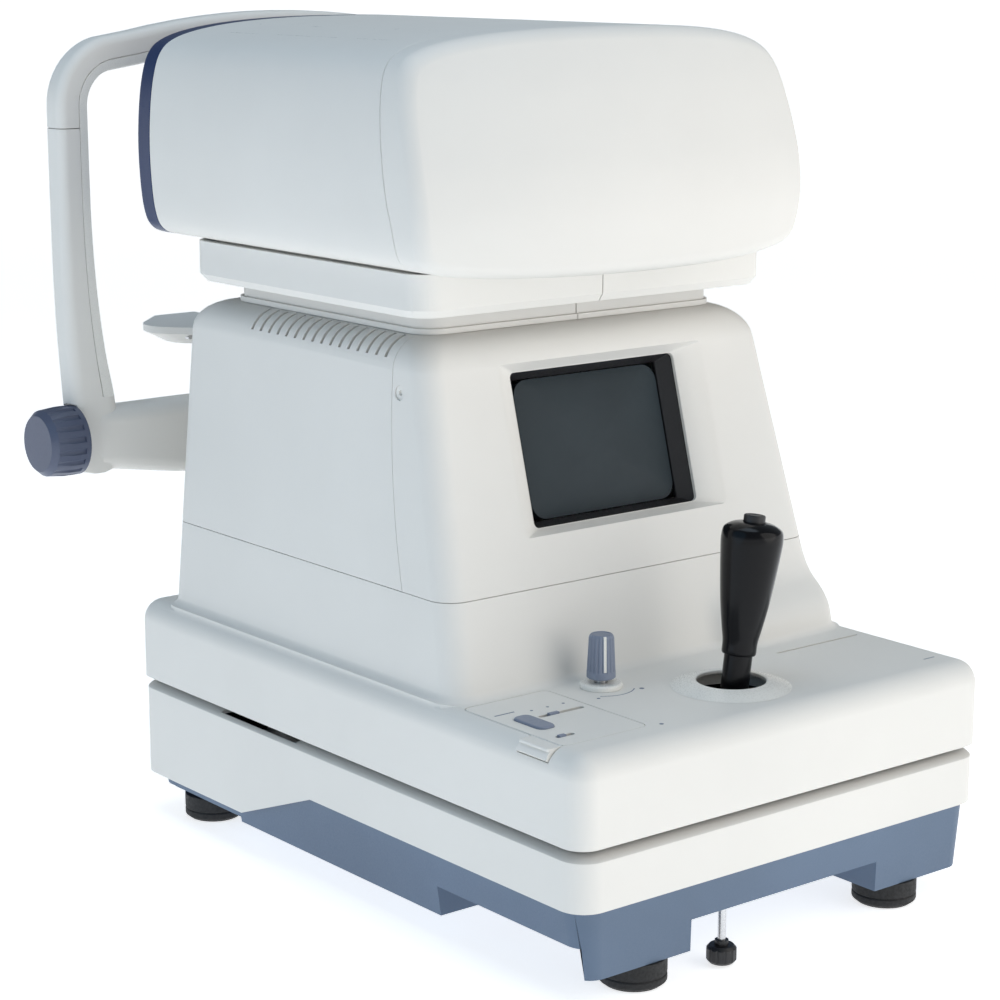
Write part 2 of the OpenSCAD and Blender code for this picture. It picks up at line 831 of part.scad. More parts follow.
module control_lid() {
    color("ivory") placed() difference() {
        union() {
            block(lid_x0, lid_x1 - lid_t / 2, lid_y0, lid_y1, deck_z - lid_t, deck_z);
            rod_y(lid_x1 - lid_t / 2, lid_y0, lid_y1, deck_z - lid_t / 2, lid_t / 2);
            rod_y(lid_x1 - lid_t / 2, lid_y0 - 2, lid_y1 + 2, deck_z - lid_t / 2, lid_pin_r);
            block(-stage_half + 1.5, lid_x0 + 1, 24.5, 46.5, deck_z - lid_t, deck_z - 0.4);
            block(-stage_half + 0.2, -stage_half + 2, 24.5, 46.5, deck_z - 6.5, deck_z - 1.5);
        }
        translate([button_at[0], button_at[1], deck_z]) cube([10.6, 23.2, 10], center = true);
        translate([slot_at[0], slot_at[1], deck_z]) cube([28, 3, 10], center = true);
        translate([small_slot_at[0], small_slot_at[1], deck_z]) cube([11, 3, 10], center = true);
    }
}

module print_button() {
    color([0.52, 0.56, 0.64]) placed() translate([button_at[0] - 5, button_at[1] - 11.3, deck_z - 6])
        cube([10, 22.6, 7.2]);
}

module mode_slider() {
    color([0.4, 0.42, 0.45]) placed() translate([slot_at[0] - 8, slot_at[1] - 1.2, deck_z - 6])
        cube([6, 2.4, 6.8]);
}

module target_slider() {
    color([0.4, 0.42, 0.45]) placed() translate([small_slot_at[0] - 4, small_slot_at[1] - 1.2, deck_z - 6])
        cube([4, 2.4, 6.8]);
}

module brightness_knob() {
    color([0.5, 0.55, 0.64]) placed() translate([bright_at[0], bright_at[1], 0]) union() {
        translate([0, 0, 129.5]) cylinder(h = 21, r1 = 7.3, r2 = 6.3, $fn = 64);
        translate([0, 0, 150.5]) cylinder(h = 1.5, r1 = 6.3, r2 = 5.2, $fn = 64);
        translate([0, 0, 112]) cylinder(h = 20, r = 3, $fn = 32);
    }
}

// ---- Joystick ----

module on_stick() {
    translate([stick_x, stick_y, pivot_z]) rotate([0, stick_lean, 0]) children();
}

module gimbal_ring() {
    color("silver") placed() difference() {
        union() {
            translate([stick_x, stick_y, pivot_z - 4]) cylinder(h = 8, r = 20, $fn = 64);
            rod_x(stick_x - 27, stick_x + 27, stick_y, pivot_z, 2);
        }
        translate([stick_x, stick_y, pivot_z - 5]) cylinder(h = 10, r = 15, $fn = 64);
        rod_y(stick_x, stick_y - 21, stick_y + 21, pivot_z, 2.05);
    }
}

module joystick_stem() {
    color("silver") placed() on_stick() union() {
        sphere(10, $fn = 64);
        rotate([90, 0, 0]) cylinder(h = 36, r = 2, center = true, $fn = 32);
        translate([0, 0, stem_ball_s]) cylinder(h = 82, r = 4, $fn = 48);
        translate([0, 0, stem_ball_s]) sphere(6, $fn = 48);
    }
}

module joystick_grip() {
    color([0.03, 0.03, 0.04]) placed() on_stick() difference() {
        rotate_extrude($fn = 72) polygon([[0, 18], [7.1, 18], [7.1, 35.5], [8.6, 36], [8.8, 42], [10.3, 50],
            [12.3, 62], [14, 76], [15.2, 88], [15.6, 95], [14.9, 98.5], [11.2, 101.2], [7, 102.4], [0, 102.4]]);
        translate([0, 0, 17]) cylinder(h = 46, r = 4.05, $fn = 48);
        translate([0, 0, 90]) cylinder(h = 20, r = 5.65, $fn = 48);
    }
}

module joystick_button() {
    color([0.05, 0.06, 0.09]) placed() on_stick() translate([0, 0, 95]) cylinder(h = 11, r = 5.6, $fn = 48);
}

// ---- Lift ----

module lift_screw() {
    color("silver") placed() union() {
        rod_z(lift_x, lift_y, 120.5, 356, 5);
        rod_z(lift_x, lift_y, 128, 136, 14);
    }
}

module lift_motor() {
    color("dimgray") placed() difference() {
        block(lift_x - 20, lift_x + 20, lift_y - 20, lift_y + 20, stage_z + 6.05, 126);
        rod_z(lift_x, lift_y, 120, 130, 5.05);
    }
}

// ---- Head ----

// Half outline of the head seen from the front, from the crown round to the underside
HEAD_HALF = [[0, head_top_z], [40, head_top_z - 0.6], [75, head_top_z - 2.9], [100, head_top_z - 6.7],
    [head_half - 15.6, head_top_z - 11.5], [head_half - 8.1, head_top_z - 18], [head_half - 4, head_top_z - 28.5],
    [head_half - 1.3, head_top_z - 44.5], [head_half, head_top_z - 66.5], [head_half - 0.8, head_z + 29],
    [head_half - 2.8, head_z + 14], [head_half - 6.6, head_z + 5.5], [head_half - 14.6, head_z + 1.3],
    [96, head_z - 1.2], [60, head_z - 3], [0, head_z - 3.5]];

// Height and depth of the middle of the head's bowed front
HEAD_FRONT = [[head_z - 9, 5.5], [head_z + 9, 2.2], [head_z + 26, 0], [head_z + 37, 0.6], [head_z + 51, 2.8],
    [head_z + 71, 8.8], [head_z + 91, 16], [head_z + 105, 22.8], [head_top_z + 8, 33]];

function spline_at(p0, p1, p2, p3, t) = 0.5 * (2 * p1 + (p2 - p0) * t + (2 * p0 - 5 * p1 + 4 * p2 - p3) * t * t
    + (3 * p1 - p0 - 3 * p2 + p3) * t * t * t);

function closed_spline(loop, steps) = let (n = len(loop))
    [for (i = [0:n - 1], k = [0:steps - 1])
        spline_at(loop[(i + n - 1) % n], loop[i], loop[(i + 1) % n], loop[(i + 2) % n], k / steps)];

// The loop runs clockwise, so its inside is on the right of each step
function shrink(loop, d) = let (n = len(loop))
    [for (i = [0:n - 1]) let (step = loop[(i + 1) % n] - loop[(i + n - 1) % n], u = step / norm(step))
        loop[i] + d * [u[1], -u[0]]];

HEAD_LOOP = concat(HEAD_HALF, [for (i = [len(HEAD_HALF) - 2:-1:1]) [-HEAD_HALF[i][0], HEAD_HALF[i][1]]]);

module head_outline(inset) {
    polygon(shrink(closed_spline(HEAD_LOOP, 3), inset));
}

module head_slice(inset, y0, y1) {
    along_y(y0, y1) head_outline(inset);
}

// Everything behind the bowed and leaning front surface, moved back by depth
module head_front_body(depth) {
    hull() for (p = HEAD_FRONT) {
        translate([0, 0, p[0]]) linear_extrude(0.1) polygon(concat([[140, 220], [-140, 220]],
            [for (x = [-140:35:140]) [x, head_front_y + depth + p[1] + x * x / 650]]));
    }
}

// Side view of the part of the head behind the joint, which leans back above the middle
module behind_joint(slack) {
    along_x(-150, 150) polygon([[cap_joint_y + slack, head_z - 20], [cap_joint_y + slack, head_z + 18],
        [cap_joint_y + slack + 4.8, head_z + 45], [cap_joint_y + slack + 12.6, head_z + 95],
        [cap_joint_y + slack + 16, head_top_z + 5], [head_rear_y + 9, head_top_z + 5], [head_rear_y + 9, head_z - 20]]);
}

module head_bottom_opening() {
    block(-102, 102, 158, 346, head_z - 5, head_z + 10);
}

module head_shell() {
    color("ivory") placed() difference() {
        head_slice(0, cap_joint_y, head_rear_y - rear_rim - gap);
        intersection() {
            head_slice(wall, cap_joint_y - 1, head_rear_y - rear_rim + 1);
            block(-150, 150, cap_joint_y - 2, head_rear_y, head_z + wall, head_top_z + 1);
        }
        block(-head_ledge_x, head_ledge_x, cap_joint_y - 1, head_rear_y - rear_rim + 1, head_z + wall,
            head_z + wall + 8);
        difference() {
            block(-150, 150, cap_joint_y - 10, cap_joint_y + 30, head_z - 20, head_top_z + 1);
            behind_joint(gap);
        }
        block(-150, 150, cap_joint_y - 10, head_rear_y, head_z - 20, head_z);
        head_bottom_opening();
    }
}

// Rounded-edge form of the cap, drawn in by inset on the sides and by depth on the front
module head_cap_form(inset, depth, edge) {
    hull() {
        intersection() {
            head_slice(inset, 100, cap_joint_y + 20);
            head_front_body(depth + edge);
        }
        intersection() {
            head_slice(inset + edge * 0.35, 100, cap_joint_y);
            head_front_body(depth + edge * 0.3);
        }
        intersection() {
            head_slice(inset + edge, 100, cap_joint_y);
            head_front_body(depth);
        }
    }
}

module head_front_cap() {
    color("ivory") placed() difference() {
        head_cap_form(0, 0, 9);
        head_cap_form(wall, wall, 7);
        behind_joint(0);
        block(-150, 150, upper_skirt_y - 0.4, cap_joint_y + 30, head_z - 20, head_z);
    }
}

module head_rear_panel() {
    color([0.1, 0.17, 0.33]) placed() difference() {
        union() {
            head_slice(0, head_rear_y - rear_rim, head_rear_y - 3);
            head_slice(3, head_rear_y - 3.5, head_rear_y);
        }
        head_slice(6, head_rear_y - rear_rim - 1, head_rear_y - 4);
        rod_y(0, head_rear_y - 12, head_rear_y + 1, 388, 24);
        block(-150, 150, head_rear_y - rear_rim - 1, head_rear_y + 1, head_z - 20, head_z);
    }
}

module head_chassis() {
    color("silver") placed() difference() {
        union() {
            block(-116, 116, 160, 332, plate_z, plate_z + 4);
            both_sides() block(103, head_ledge_x - 1, 170, 326, head_z + wall + 0.05, plate_z + 1);
            for (y = column_ys) rod_z(-column_x, y, 262, plate_z + 1, 9);
            rod_z(column_x, column_ys[1], 262, plate_z + 1, 9);
            rod_z(lift_x, lift_y, 300, plate_z + 1, 9);
        }
        for (y = column_ys) rod_z(-column_x, y, 260, plate_z + 10, column_r + 0.05);
        rod_z(column_x, column_ys[1], 260, plate_z + 10, column_r + 0.05);
        rod_z(lift_x, lift_y, 290, plate_z + 10, 5.05);
    }
}

module optics_bench() {
    color("dimgray") placed() union() {
        block(-70, 70, 190, 340, plate_z + 4.05, plate_z + 70);
        rod_y(0, 340, head_rear_y - 3, 388, 22);
    }
}

module objective_lens() {
    color([0.5, 0.6, 0.7, 0.5]) placed() rod_y(0, head_rear_y - 2.9, head_rear_y - 1, 388, 21);
}

module upper_skirt() {
    color("ivory") placed() difference() {
        hull() {
            slab(115, upper_skirt_y + 3, 350, 13, head_z - 22, head_z - 21.9);
            slab(118, upper_skirt_y, 354, 15, head_z - 18, head_z - 0.1);
        }
        slab(111, 152, 347, 12, head_z - 30, head_z + 1);
        block(-0.3, 0.3, 100, 400, head_z - 30, head_z + 1);
    }
}

module case_screws() {
    color("gray") placed() both_sides() difference() {
        rod_x(tower_half_at(screw_z) - 4, tower_half_at(screw_z) - 0.6, screw_y, screw_z, 3.75);
        rod_x(tower_half_at(screw_z) - 2, tower_half_at(screw_z), screw_y, screw_z, 1.5);
    }
}

bottom_tray();
base_cover();
base_plate();
rubber_feet();
guide_racks();
power_supply();
power_inlet();
power_rocker();
data_socket();
support_column();
column_cover();
crossbeam_and_posts();
forehead_arch();
frame_trim_strip();
forehead_pad();
transport_screw();
transport_knob();
chin_post();
chin_rest();
chin_pins();
chin_knob();
chin_shaft();
cross_shaft();
rack_wheels();
stage_chassis();
shaft_bushes();
stage_cover();
tower_rear_cover();
tower_front_bezel();
screen_surround();
picture_tube();
main_board();
switch_board();
lower_skirt();
guide_columns();
joystick_collar();
gimbal_frame();
knob_collar();
printer_mechanism();
paper_roll();
control_lid();
print_button();
mode_slider();
target_slider();
brightness_knob();
gimbal_ring();
joystick_stem();
joystick_grip();
joystick_button();
lift_screw();
lift_motor();
head_chassis();
optics_bench();
head_shell();
head_front_cap();
head_rear_panel();
objective_lens();
upper_skirt();
case_screws();
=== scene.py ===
"""Looks for the tabletop autorefractor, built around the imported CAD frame.

Lengths below are millimetres in the instrument's own directions: X to the operator's right from the middle of
the machine, Y towards the patient from the base's front face, Z up from the table. at() turns them into the frame.
"""
import math

import bmesh
import bpy
from mathutils import Matrix, Vector


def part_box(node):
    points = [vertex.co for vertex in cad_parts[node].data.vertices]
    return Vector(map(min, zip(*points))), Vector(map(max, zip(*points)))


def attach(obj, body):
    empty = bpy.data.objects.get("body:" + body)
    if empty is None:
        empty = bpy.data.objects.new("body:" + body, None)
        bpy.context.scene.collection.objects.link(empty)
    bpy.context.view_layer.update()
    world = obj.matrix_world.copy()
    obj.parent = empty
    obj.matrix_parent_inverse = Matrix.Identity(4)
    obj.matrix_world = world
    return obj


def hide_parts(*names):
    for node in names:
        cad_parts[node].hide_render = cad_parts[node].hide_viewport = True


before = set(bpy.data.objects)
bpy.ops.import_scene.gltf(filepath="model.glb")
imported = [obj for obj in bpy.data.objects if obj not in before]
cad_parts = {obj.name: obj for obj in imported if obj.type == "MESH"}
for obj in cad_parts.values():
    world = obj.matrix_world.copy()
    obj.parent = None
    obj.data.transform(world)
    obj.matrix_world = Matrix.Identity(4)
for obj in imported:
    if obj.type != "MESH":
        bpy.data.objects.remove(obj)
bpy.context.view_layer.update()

MM = 0.001


base_low, base_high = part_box("base_cover")
ORIGIN = Vector(((base_low.x + base_high.x) / 2, base_low.y, 0))


def at(x, y, z):
    return ORIGIN + Vector((x, y, z)) * MM


def own(point):
    """A frame point in the instrument's own millimetres."""
    return (point - ORIGIN) / MM


def own_box(node):
    low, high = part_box(node)
    return own(low), own(high)


# ---------------------------------------------------------------- materials

def new_material(name):
    mat = bpy.data.materials.new(name)
    mat.use_nodes = True
    tree = mat.node_tree
    return mat, tree, tree.nodes["Principled BSDF"]


def add_noise(tree, coords, scale, detail=3.0, rough=0.55):
    node = tree.nodes.new("ShaderNodeTexNoise")
    node.inputs["Scale"].default_value = scale
    node.inputs["Detail"].default_value = detail
    node.inputs["Roughness"].default_value = rough
    tree.links.new(coords.outputs["Object"], node.inputs["Vector"])
    return node


def ramp_between(tree, source, low, high, start=0.35, end=0.65):
    node = tree.nodes.new("ShaderNodeValToRGB")
    node.color_ramp.elements[0].position = start
    node.color_ramp.elements[1].position = end
    node.color_ramp.elements[0].color = low
    node.color_ramp.elements[1].color = high
    tree.links.new(source, node.inputs["Fac"])
    return node


def range_map(tree, source, low, high):
    node = tree.nodes.new("ShaderNodeMapRange")
    node.inputs["From Min"].default_value = 0.3
    node.inputs["From Max"].default_value = 0.7
    node.inputs["To Min"].default_value = low
    node.inputs["To Max"].default_value = high
    tree.links.new(source, node.inputs["Value"])
    return node


def shade(colour, factor):
    return tuple(min(1.0, c * factor) for c in colour[:3]) + (1.0,)


def surface(name, colour, rough=(0.35, 0.45), grain=900.0, grain_depth=0.02, blotch=6.0, vary=0.04,
            metallic=0.0, coat=0.0, specular=0.5, streaks=None, wear=0.0):
    """Moulded or machined surface: slow colour drift, fine grain, and optional wear on edges."""
    mat, tree, bsdf = new_material(name)
    coords = tree.nodes.new("ShaderNodeTexCoord")
    slow = add_noise(tree, coords, blotch, 4.0)
    colour_ramp = ramp_between(tree, slow.outputs["Fac"], shade(colour, 1 - vary), shade(colour, 1 + vary))
    colour_out = colour_ramp.outputs["Color"]
    if wear:
        geometry = tree.nodes.new("ShaderNodeNewGeometry")
        edge = ramp_between(tree, geometry.outputs["Pointiness"], (0, 0, 0, 1), (1, 1, 1, 1), 0.52, 0.6)
        mix = tree.nodes.new("ShaderNodeMix")
        mix.data_type = "RGBA"
        mix.inputs["B"].default_value = shade(colour, 1 + wear)
        tree.links.new(edge.outputs["Color"], mix.inputs["Factor"])
        tree.links.new(colour_out, mix.inputs["A"])
        colour_out = mix.outputs["Result"]
    tree.links.new(colour_out, bsdf.inputs["Base Color"])
    fine = add_noise(tree, coords, grain, 2.0)
    if streaks:
        mapping = tree.nodes.new("ShaderNodeMapping")
        mapping.inputs["Scale"].default_value = streaks
        tree.links.new(coords.outputs["Object"], mapping.inputs["Vector"])
        tree.links.new(mapping.outputs["Vector"], fine.inputs["Vector"])
    tree.links.new(range_map(tree, fine.outputs["Fac"], *rough).outputs["Result"], bsdf.inputs["Roughness"])
    bump = tree.nodes.new("ShaderNodeBump")
    bump.inputs["Strength"].default_value = 0.35
    bump.inputs["Distance"].default_value = grain_depth * MM
    tree.links.new(fine.outputs["Fac"], bump.inputs["Height"])
    tree.links.new(bump.outputs["Normal"], bsdf.inputs["Normal"])
    bsdf.inputs["Metallic"].default_value = metallic
    bsdf.inputs["Coat Weight"].default_value = coat
    bsdf.inputs["Coat Roughness"].default_value = 0.12
    bsdf.inputs["Specular IOR Level"].default_value = specular
    return mat


WHITE = surface("case_white", (0.80, 0.785, 0.75), rough=(0.46, 0.58), grain=1500, grain_depth=0.014,
                vary=0.022,
                specular=0.34)
COLLAR = surface("collar_white", (0.84, 0.83, 0.79), rough=(0.24, 0.34), grain=1500, grain_depth=0.01,
                 vary=0.02,
                 coat=0.2)
TRAY = surface("tray_blue_grey", (0.105, 0.155, 0.235), rough=(0.42, 0.6), grain=1200, grain_depth=0.03,
               vary=0.1)
FOOT = surface("foot_rubber", (0.012, 0.012, 0.013), rough=(0.55, 0.8), grain=700, grain_depth=0.04, vary=0.3)
GRIP = surface("joystick_black", (0.004, 0.004, 0.005), rough=(0.14, 0.22), grain=900, grain_depth=0.004,
               vary=0.3,
               specular=0.2)
KNOB = surface("knob_slate", (0.082, 0.098, 0.155), rough=(0.3, 0.42), grain=1000, grain_depth=0.02, vary=0.12)
BUTTON = surface("button_grey_blue", (0.215, 0.25, 0.335), rough=(0.34, 0.46), grain=1000, grain_depth=0.02,
                 vary=0.06)
NAVY = surface("panel_navy", (0.012, 0.032, 0.105), rough=(0.3, 0.42), grain=1000, grain_depth=0.02, vary=0.12)
BLACK = surface("moulded_black", (0.012, 0.012, 0.014), rough=(0.35, 0.5), grain=900, grain_depth=0.02,
                vary=0.2)
STEEL = surface("ground_steel", (0.6, 0.6, 0.61), rough=(0.2, 0.34), grain=260, grain_depth=0.006, metallic=1.0,
                streaks=(1, 1, 14))
PLATE = surface("zinc_plate", (0.55, 0.56, 0.57), rough=(0.34, 0.5), grain=150, grain_depth=0.01, metallic=1.0,
                vary=0.1)
CAST = surface("cast_alloy", (0.46, 0.47, 0.48), rough=(0.45, 0.62), grain=420, grain_depth=0.08, metallic=1.0,
               vary=0.08)
BRASS = surface("brass", (0.62, 0.44, 0.17), rough=(0.24, 0.4), grain=300, grain_depth=0.01, metallic=1.0,
                vary=0.08)
ANODISED = surface("black_anodised", (0.03, 0.03, 0.033), rough=(0.35, 0.5), grain=500, grain_depth=0.02,
                   metallic=0.7, vary=0.15)
PAPER = surface("thermal_paper", (0.86, 0.86, 0.82), rough=(0.7, 0.85), grain=500, grain_depth=0.02, vary=0.03)
BOARD = surface("board_green", (0.012, 0.09, 0.03), rough=(0.35, 0.5), grain=120, grain_depth=0.1, vary=0.3)
SILICONE = surface("white_silicone", (0.74, 0.76, 0.77), rough=(0.5, 0.62), grain=700, grain_depth=0.03,
                   vary=0.03)


def tube_glass():
    """Dark picture tube behind faintly dusty glass."""
    mat, tree, bsdf = new_material("picture_tube_glass")
    coords = tree.nodes.new("ShaderNodeTexCoord")
    slow = add_noise(tree, coords, 9.0, 3.0)
    drift = ramp_between(tree, slow.outputs["Fac"], (0.020, 0.030, 0.037, 1), (0.027, 0.040, 0.049, 1))
    tree.links.new(drift.outputs["Color"], bsdf.inputs["Base Color"])
    dust = add_noise(tree, coords, 240.0, 4.0)
    tree.links.new(range_map(tree, dust.outputs["Fac"], 0.42, 0.5).outputs["Result"], bsdf.inputs["Roughness"])
    bsdf.inputs["Specular IOR Level"].default_value = 0.22
    return mat


def lens_glass():
    mat, tree, bsdf = new_material("coated_lens")
    coords = tree.nodes.new("ShaderNodeTexCoord")
    slow = add_noise(tree, coords, 30.0, 2.0)
    tint = ramp_between(tree, slow.outputs["Fac"], (0.05, 0.10, 0.14, 1), (0.07, 0.07, 0.16, 1))
    tree.links.new(tint.outputs["Color"], bsdf.inputs["Base Color"])
    fine = add_noise(tree, coords, 500.0)
    tree.links.new(range_map(tree, fine.outputs["Fac"], 0.03, 0.07).outputs["Result"], bsdf.inputs["Roughness"])
    bsdf.inputs["Coat Weight"].default_value = 1.0
    bsdf.inputs["Coat Roughness"].default_value = 0.03
    return mat


TUBE = tube_glass()
LENS = lens_glass()

# ---------------------------------------------------------------- mesh tools

def link_mesh(name, points, faces, mat):
    mesh = bpy.data.meshes.new(name)
    mesh.from_pydata([at(*p) for p in points], [], faces)
    mesh.update()
    obj = bpy.data.objects.new(name, mesh)
    bpy.context.scene.collection.objects.link(obj)
    obj.data.materials.append(mat)
    work = bmesh.new()
    work.from_mesh(mesh)
    bmesh.ops.remove_doubles(work, verts=work.verts, dist=1e-7)
    bmesh.ops.recalc_face_normals(work, faces=work.faces)
    work.to_mesh(mesh)
    work.free()
    return obj


def loft(name, rings, mat, caps=(True, True)):
    """Skin through rings of equal point count, closed at the ends unless caps says otherwise."""
    count = len(rings[0])
    points = [p for ring in rings for p in ring]
    faces = []
    for a in range(len(rings) - 1):
        for i in range(count):
            j = (i + 1) % count
            faces.append((a * count + i, a * count + j, (a + 1) * count + j, (a + 1) * count + i))
    if caps[0]:
        faces.append(tuple(range(count)))
    if caps[1]:
        faces.append(tuple(range((len(rings) - 1) * count, len(rings) * count)))
    return link_mesh(name, points, faces, mat)


def lathe(name, profile, centre, mat, axis="Z", steps=96):
    """Turned shape: profile is (radius, height) from bottom to top, centre is its foot point."""
    cx, cy, cz = centre
    rings = []
    for radius, height in profile:
        ring = []
        for k in range(steps):
            a = 2 * math.pi * k / steps
            u, v = radius * math.cos(a), radius * math.sin(a)
            ring.append({"Z": (cx + u, cy + v, cz + height), "X": (cx + height, cy + u, cz + v),
                         "Y": (cx + v, cy + height, cz + u)}[axis])
        rings.append(ring)
    return loft(name, rings, mat)


def block(name, x0, x1, y0, y1, z0, z1, mat):
    ring = [(x0, y0), (x1, y0), (x1, y1), (x0, y1)]
    return loft(name, [[(x, y, z0) for x, y in ring], [(x, y, z1) for x, y in ring]], mat)


def extrude_x(name, outline, x0, x1, mat):
    return loft(name, [[(x, y, z) for y, z in outline] for x in (x0, x1)], mat)


def extrude_y(name, outline, y0, y1, mat):
    return loft(name, [[(x, y, z) for x, z in outline] for y in (y0, y1)], mat)


def bake(obj):
    """Applies the modifiers."""
    graph = bpy.context.evaluated_depsgraph_get()
    mesh = bpy.data.meshes.new_from_object(obj.evaluated_get(graph))
    obj.modifiers.clear()
    old = obj.data
    obj.data = mesh
    bpy.data.meshes.remove(old)
    return obj


def boolean(obj, others, operation, keep=False):
    for other in others:
        mod = obj.modifiers.new(operation, "BOOLEAN")
        mod.operation = operation
        mod.solver = "EXACT"
        mod.object = other
        bake(obj)
        if not keep:
            bpy.data.objects.remove(other)
    return obj


def cut(obj, *cutters):
    return boolean(obj, cutters, "DIFFERENCE")


def join_solid(obj, *others):
    return boolean(obj, others, "UNION")


def soft_edges(obj, width=0.5, angle=38, segments=3, weld=False):
    """Small edge rounding on the sharp edges, with clean normals on the flats."""
    if weld:
        obj.modifiers.new("weld", "WELD").merge_threshold = 1e-6
        flat = obj.modifiers.new("flat", "DECIMATE")
        flat.decimate_type = "DISSOLVE"
        flat.angle_limit = math.radians(0.4)
    bevel = obj.modifiers.new("edge", "BEVEL")
    bevel.width = width * MM
    bevel.segments = segments
    bevel.limit_method = "ANGLE"
    bevel.angle_limit = math.radians(angle)
    bevel.harden_normals = False
    bevel.use_clamp_overlap = True
    bevel.miter_outer = "MITER_ARC"
    smooth(obj)
    normals = obj.modifiers.new("normals", "WEIGHTED_NORMAL")
    normals.keep_sharp = True
    normals.weight = 60
    return obj


def smooth(obj, angle=40):
    mesh = obj.data
    mesh.polygons.foreach_set("use_smooth", [True] * len(mesh.polygons))
    mesh.set_sharp_from_angle(angle=math.radians(angle))
    return obj


def place(obj, body, *nodes, slot=None):
    """Rides on the body and stands for the CAD nodes; slot is not used."""
    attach(obj, body)
    if nodes:
        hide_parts(*nodes)
    return obj


def spline_at(p0, p1, p2, p3, t):
    return tuple(0.5 * (2 * b + (c - a) * t + (2 * a - 5 * b + 4 * c - d) * t * t + (3 * b - a - 3 * c + d) * t ** 3)
                 for a, b, c, d in zip(p0, p1, p2, p3))


def closed_spline(points, steps):
    n = len(points)
    return [spline_at(points[i - 1], points[i], points[(i + 1) % n], points[(i + 2) % n], k / steps)
            for i in range(n) for k in range(steps)]


def open_spline(points, steps):
    ends = [points[0]] + list(points) + [points[-1]]
    curve = [spline_at(*ends[i:i + 4], k / steps) for i in range(len(points) - 1) for k in range(steps)]
    return curve + [points[-1]]


def along(table, value):
    """Straight-line lookup in a short list of (place, value)."""
    for (a, va), (b, vb) in zip(table, table[1:]):
        if value <= b:
            return va + (vb - va) * max(0.0, (value - a) / (b - a))
    return table[-1][1]


def smoothstep(a, b, value):
    t = min(1.0, max(0.0, (value - a) / (b - a)))
    return t * t * (3 - 2 * t)


def inset_loop(points, depth):
    """Moves each point of a counter-clockwise loop inwards."""
    n = len(points)
    moved = []
    for i in range(n):
        (ax, az), (bx, bz) = points[i - 1], points[(i + 1) % n]
        dx, dz = bx - ax, bz - az
        length = math.hypot(dx, dz)
        moved.append((points[i][0] - depth * dz / length, points[i][1] + depth * dx / length))
    return moved


def plan_ring(half, y0, y1, r, z, corner=10, front=1, rear=1):
    """Rounded rectangle seen from above, counter-clockwise from the front left corner."""
    r = max(r, 0.2)
    ring = []

    def arc(cx, cy, start):
        for k in range(corner + 1):
            a = math.radians(start + 90 * k / corner)
            ring.append((cx + r * math.cos(a), cy + r * math.sin(a), z))

    arc(-half + r, y0 + r, 180)
    for k in range(1, front):
        ring.append((-half + r + 2 * (half - r) * k / front, y0, z))
    arc(half - r, y0 + r, 270)
    arc(half - r, y1 - r, 0)
    for k in range(1, rear):
        ring.append((half - r - 2 * (half - r) * k / rear, y1, z))
    arc(-half + r, y1 - r, 90)
    return ring


def sharp_over(angle):
    """Smooth shading with every edge above the angle left sharp, as a modifier."""
    group = bpy.data.node_groups.new("sharp_over_angle", "GeometryNodeTree")
    group.interface.new_socket("Geometry", in_out="INPUT", socket_type="NodeSocketGeometry")
    group.interface.new_socket("Geometry", in_out="OUTPUT", socket_type="NodeSocketGeometry")
    start = group.nodes.new("NodeGroupInput")
    end = group.nodes.new("NodeGroupOutput")
    faces = group.nodes.new("GeometryNodeSetShadeSmooth")
    faces.domain = "FACE"
    faces.inputs["Shade Smooth"].default_value = True
    edges = group.nodes.new("GeometryNodeSetShadeSmooth")
    edges.domain = "EDGE"
    edges.inputs["Shade Smooth"].default_value = False
    fold = group.nodes.new("GeometryNodeInputMeshEdgeAngle")
    over = group.nodes.new("ShaderNodeMath")
    over.operation = "GREATER_THAN"
    over.inputs[1].default_value = math.radians(angle)
    group.links.new(start.outputs[0], faces.inputs["Geometry"])
    group.links.new(faces.outputs["Geometry"], edges.inputs["Geometry"])
    group.links.new(fold.outputs["Unsigned Angle"], over.inputs[0])
    group.links.new(over.outputs[0], edges.inputs["Selection"])
    group.links.new(edges.outputs["Geometry"], end.inputs[0])
    return group


SHARP = sharp_over(32)


def cad(mat, width, *names):
    """CAD nodes that stay: their finish, and the rounding on their edges."""
    for name in names:
        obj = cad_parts[name]
        obj.data.materials.clear()
        obj.data.materials.append(mat)
        obj.modifiers.new("weld", "WELD").merge_threshold = 2e-6
        flat = obj.modifiers.new("flat", "DECIMATE")
        flat.decimate_type = "DISSOLVE"
        flat.angle_limit = math.radians(0.3)
        if width:
            bevel = obj.modifiers.new("edge", "BEVEL")
            bevel.width = width * MM
            bevel.segments = 2
            bevel.limit_method = "ANGLE"
            bevel.angle_limit = math.radians(40)
        obj.modifiers.new("shading", "NODES").node_group = SHARP
        normals = obj.modifiers.new("normals", "WEIGHTED_NORMAL")
        normals.keep_sharp = True


def copy_of(obj, name):
    twin = obj.copy()
    twin.data = obj.data.copy()
    twin.name = name
    bpy.context.scene.collection.objects.link(twin)
    return twin


def done(obj, name, body, *nodes, width=0.4, angle=38):
    """Softens a built piece and lets it ride in place of its CAD nodes."""
    obj.name = name
    if width:
        soft_edges(obj, width, angle)
    else:
        smooth(obj, angle)
        obj.modifiers.new("normals", "WEIGHTED_NORMAL").keep_sharp = True
    return place(obj, body, *nodes)


def rounded_rect(w, h, r, n=6):
    """Counter-clockwise from the lower left, about its centre."""
    pts = []
    for cx, cy, start in ((-w / 2 + r, -h / 2 + r, 180), (w / 2 - r, -h / 2 + r, 270),
                          (w / 2 - r, h / 2 - r, 0),
                          (-w / 2 + r, h / 2 - r, 90)):
        for k in range(n + 1):
            a = math.radians(start + 90 * k / n)
            pts.append((cx + r * math.cos(a), cy + r * math.sin(a)))
    return pts


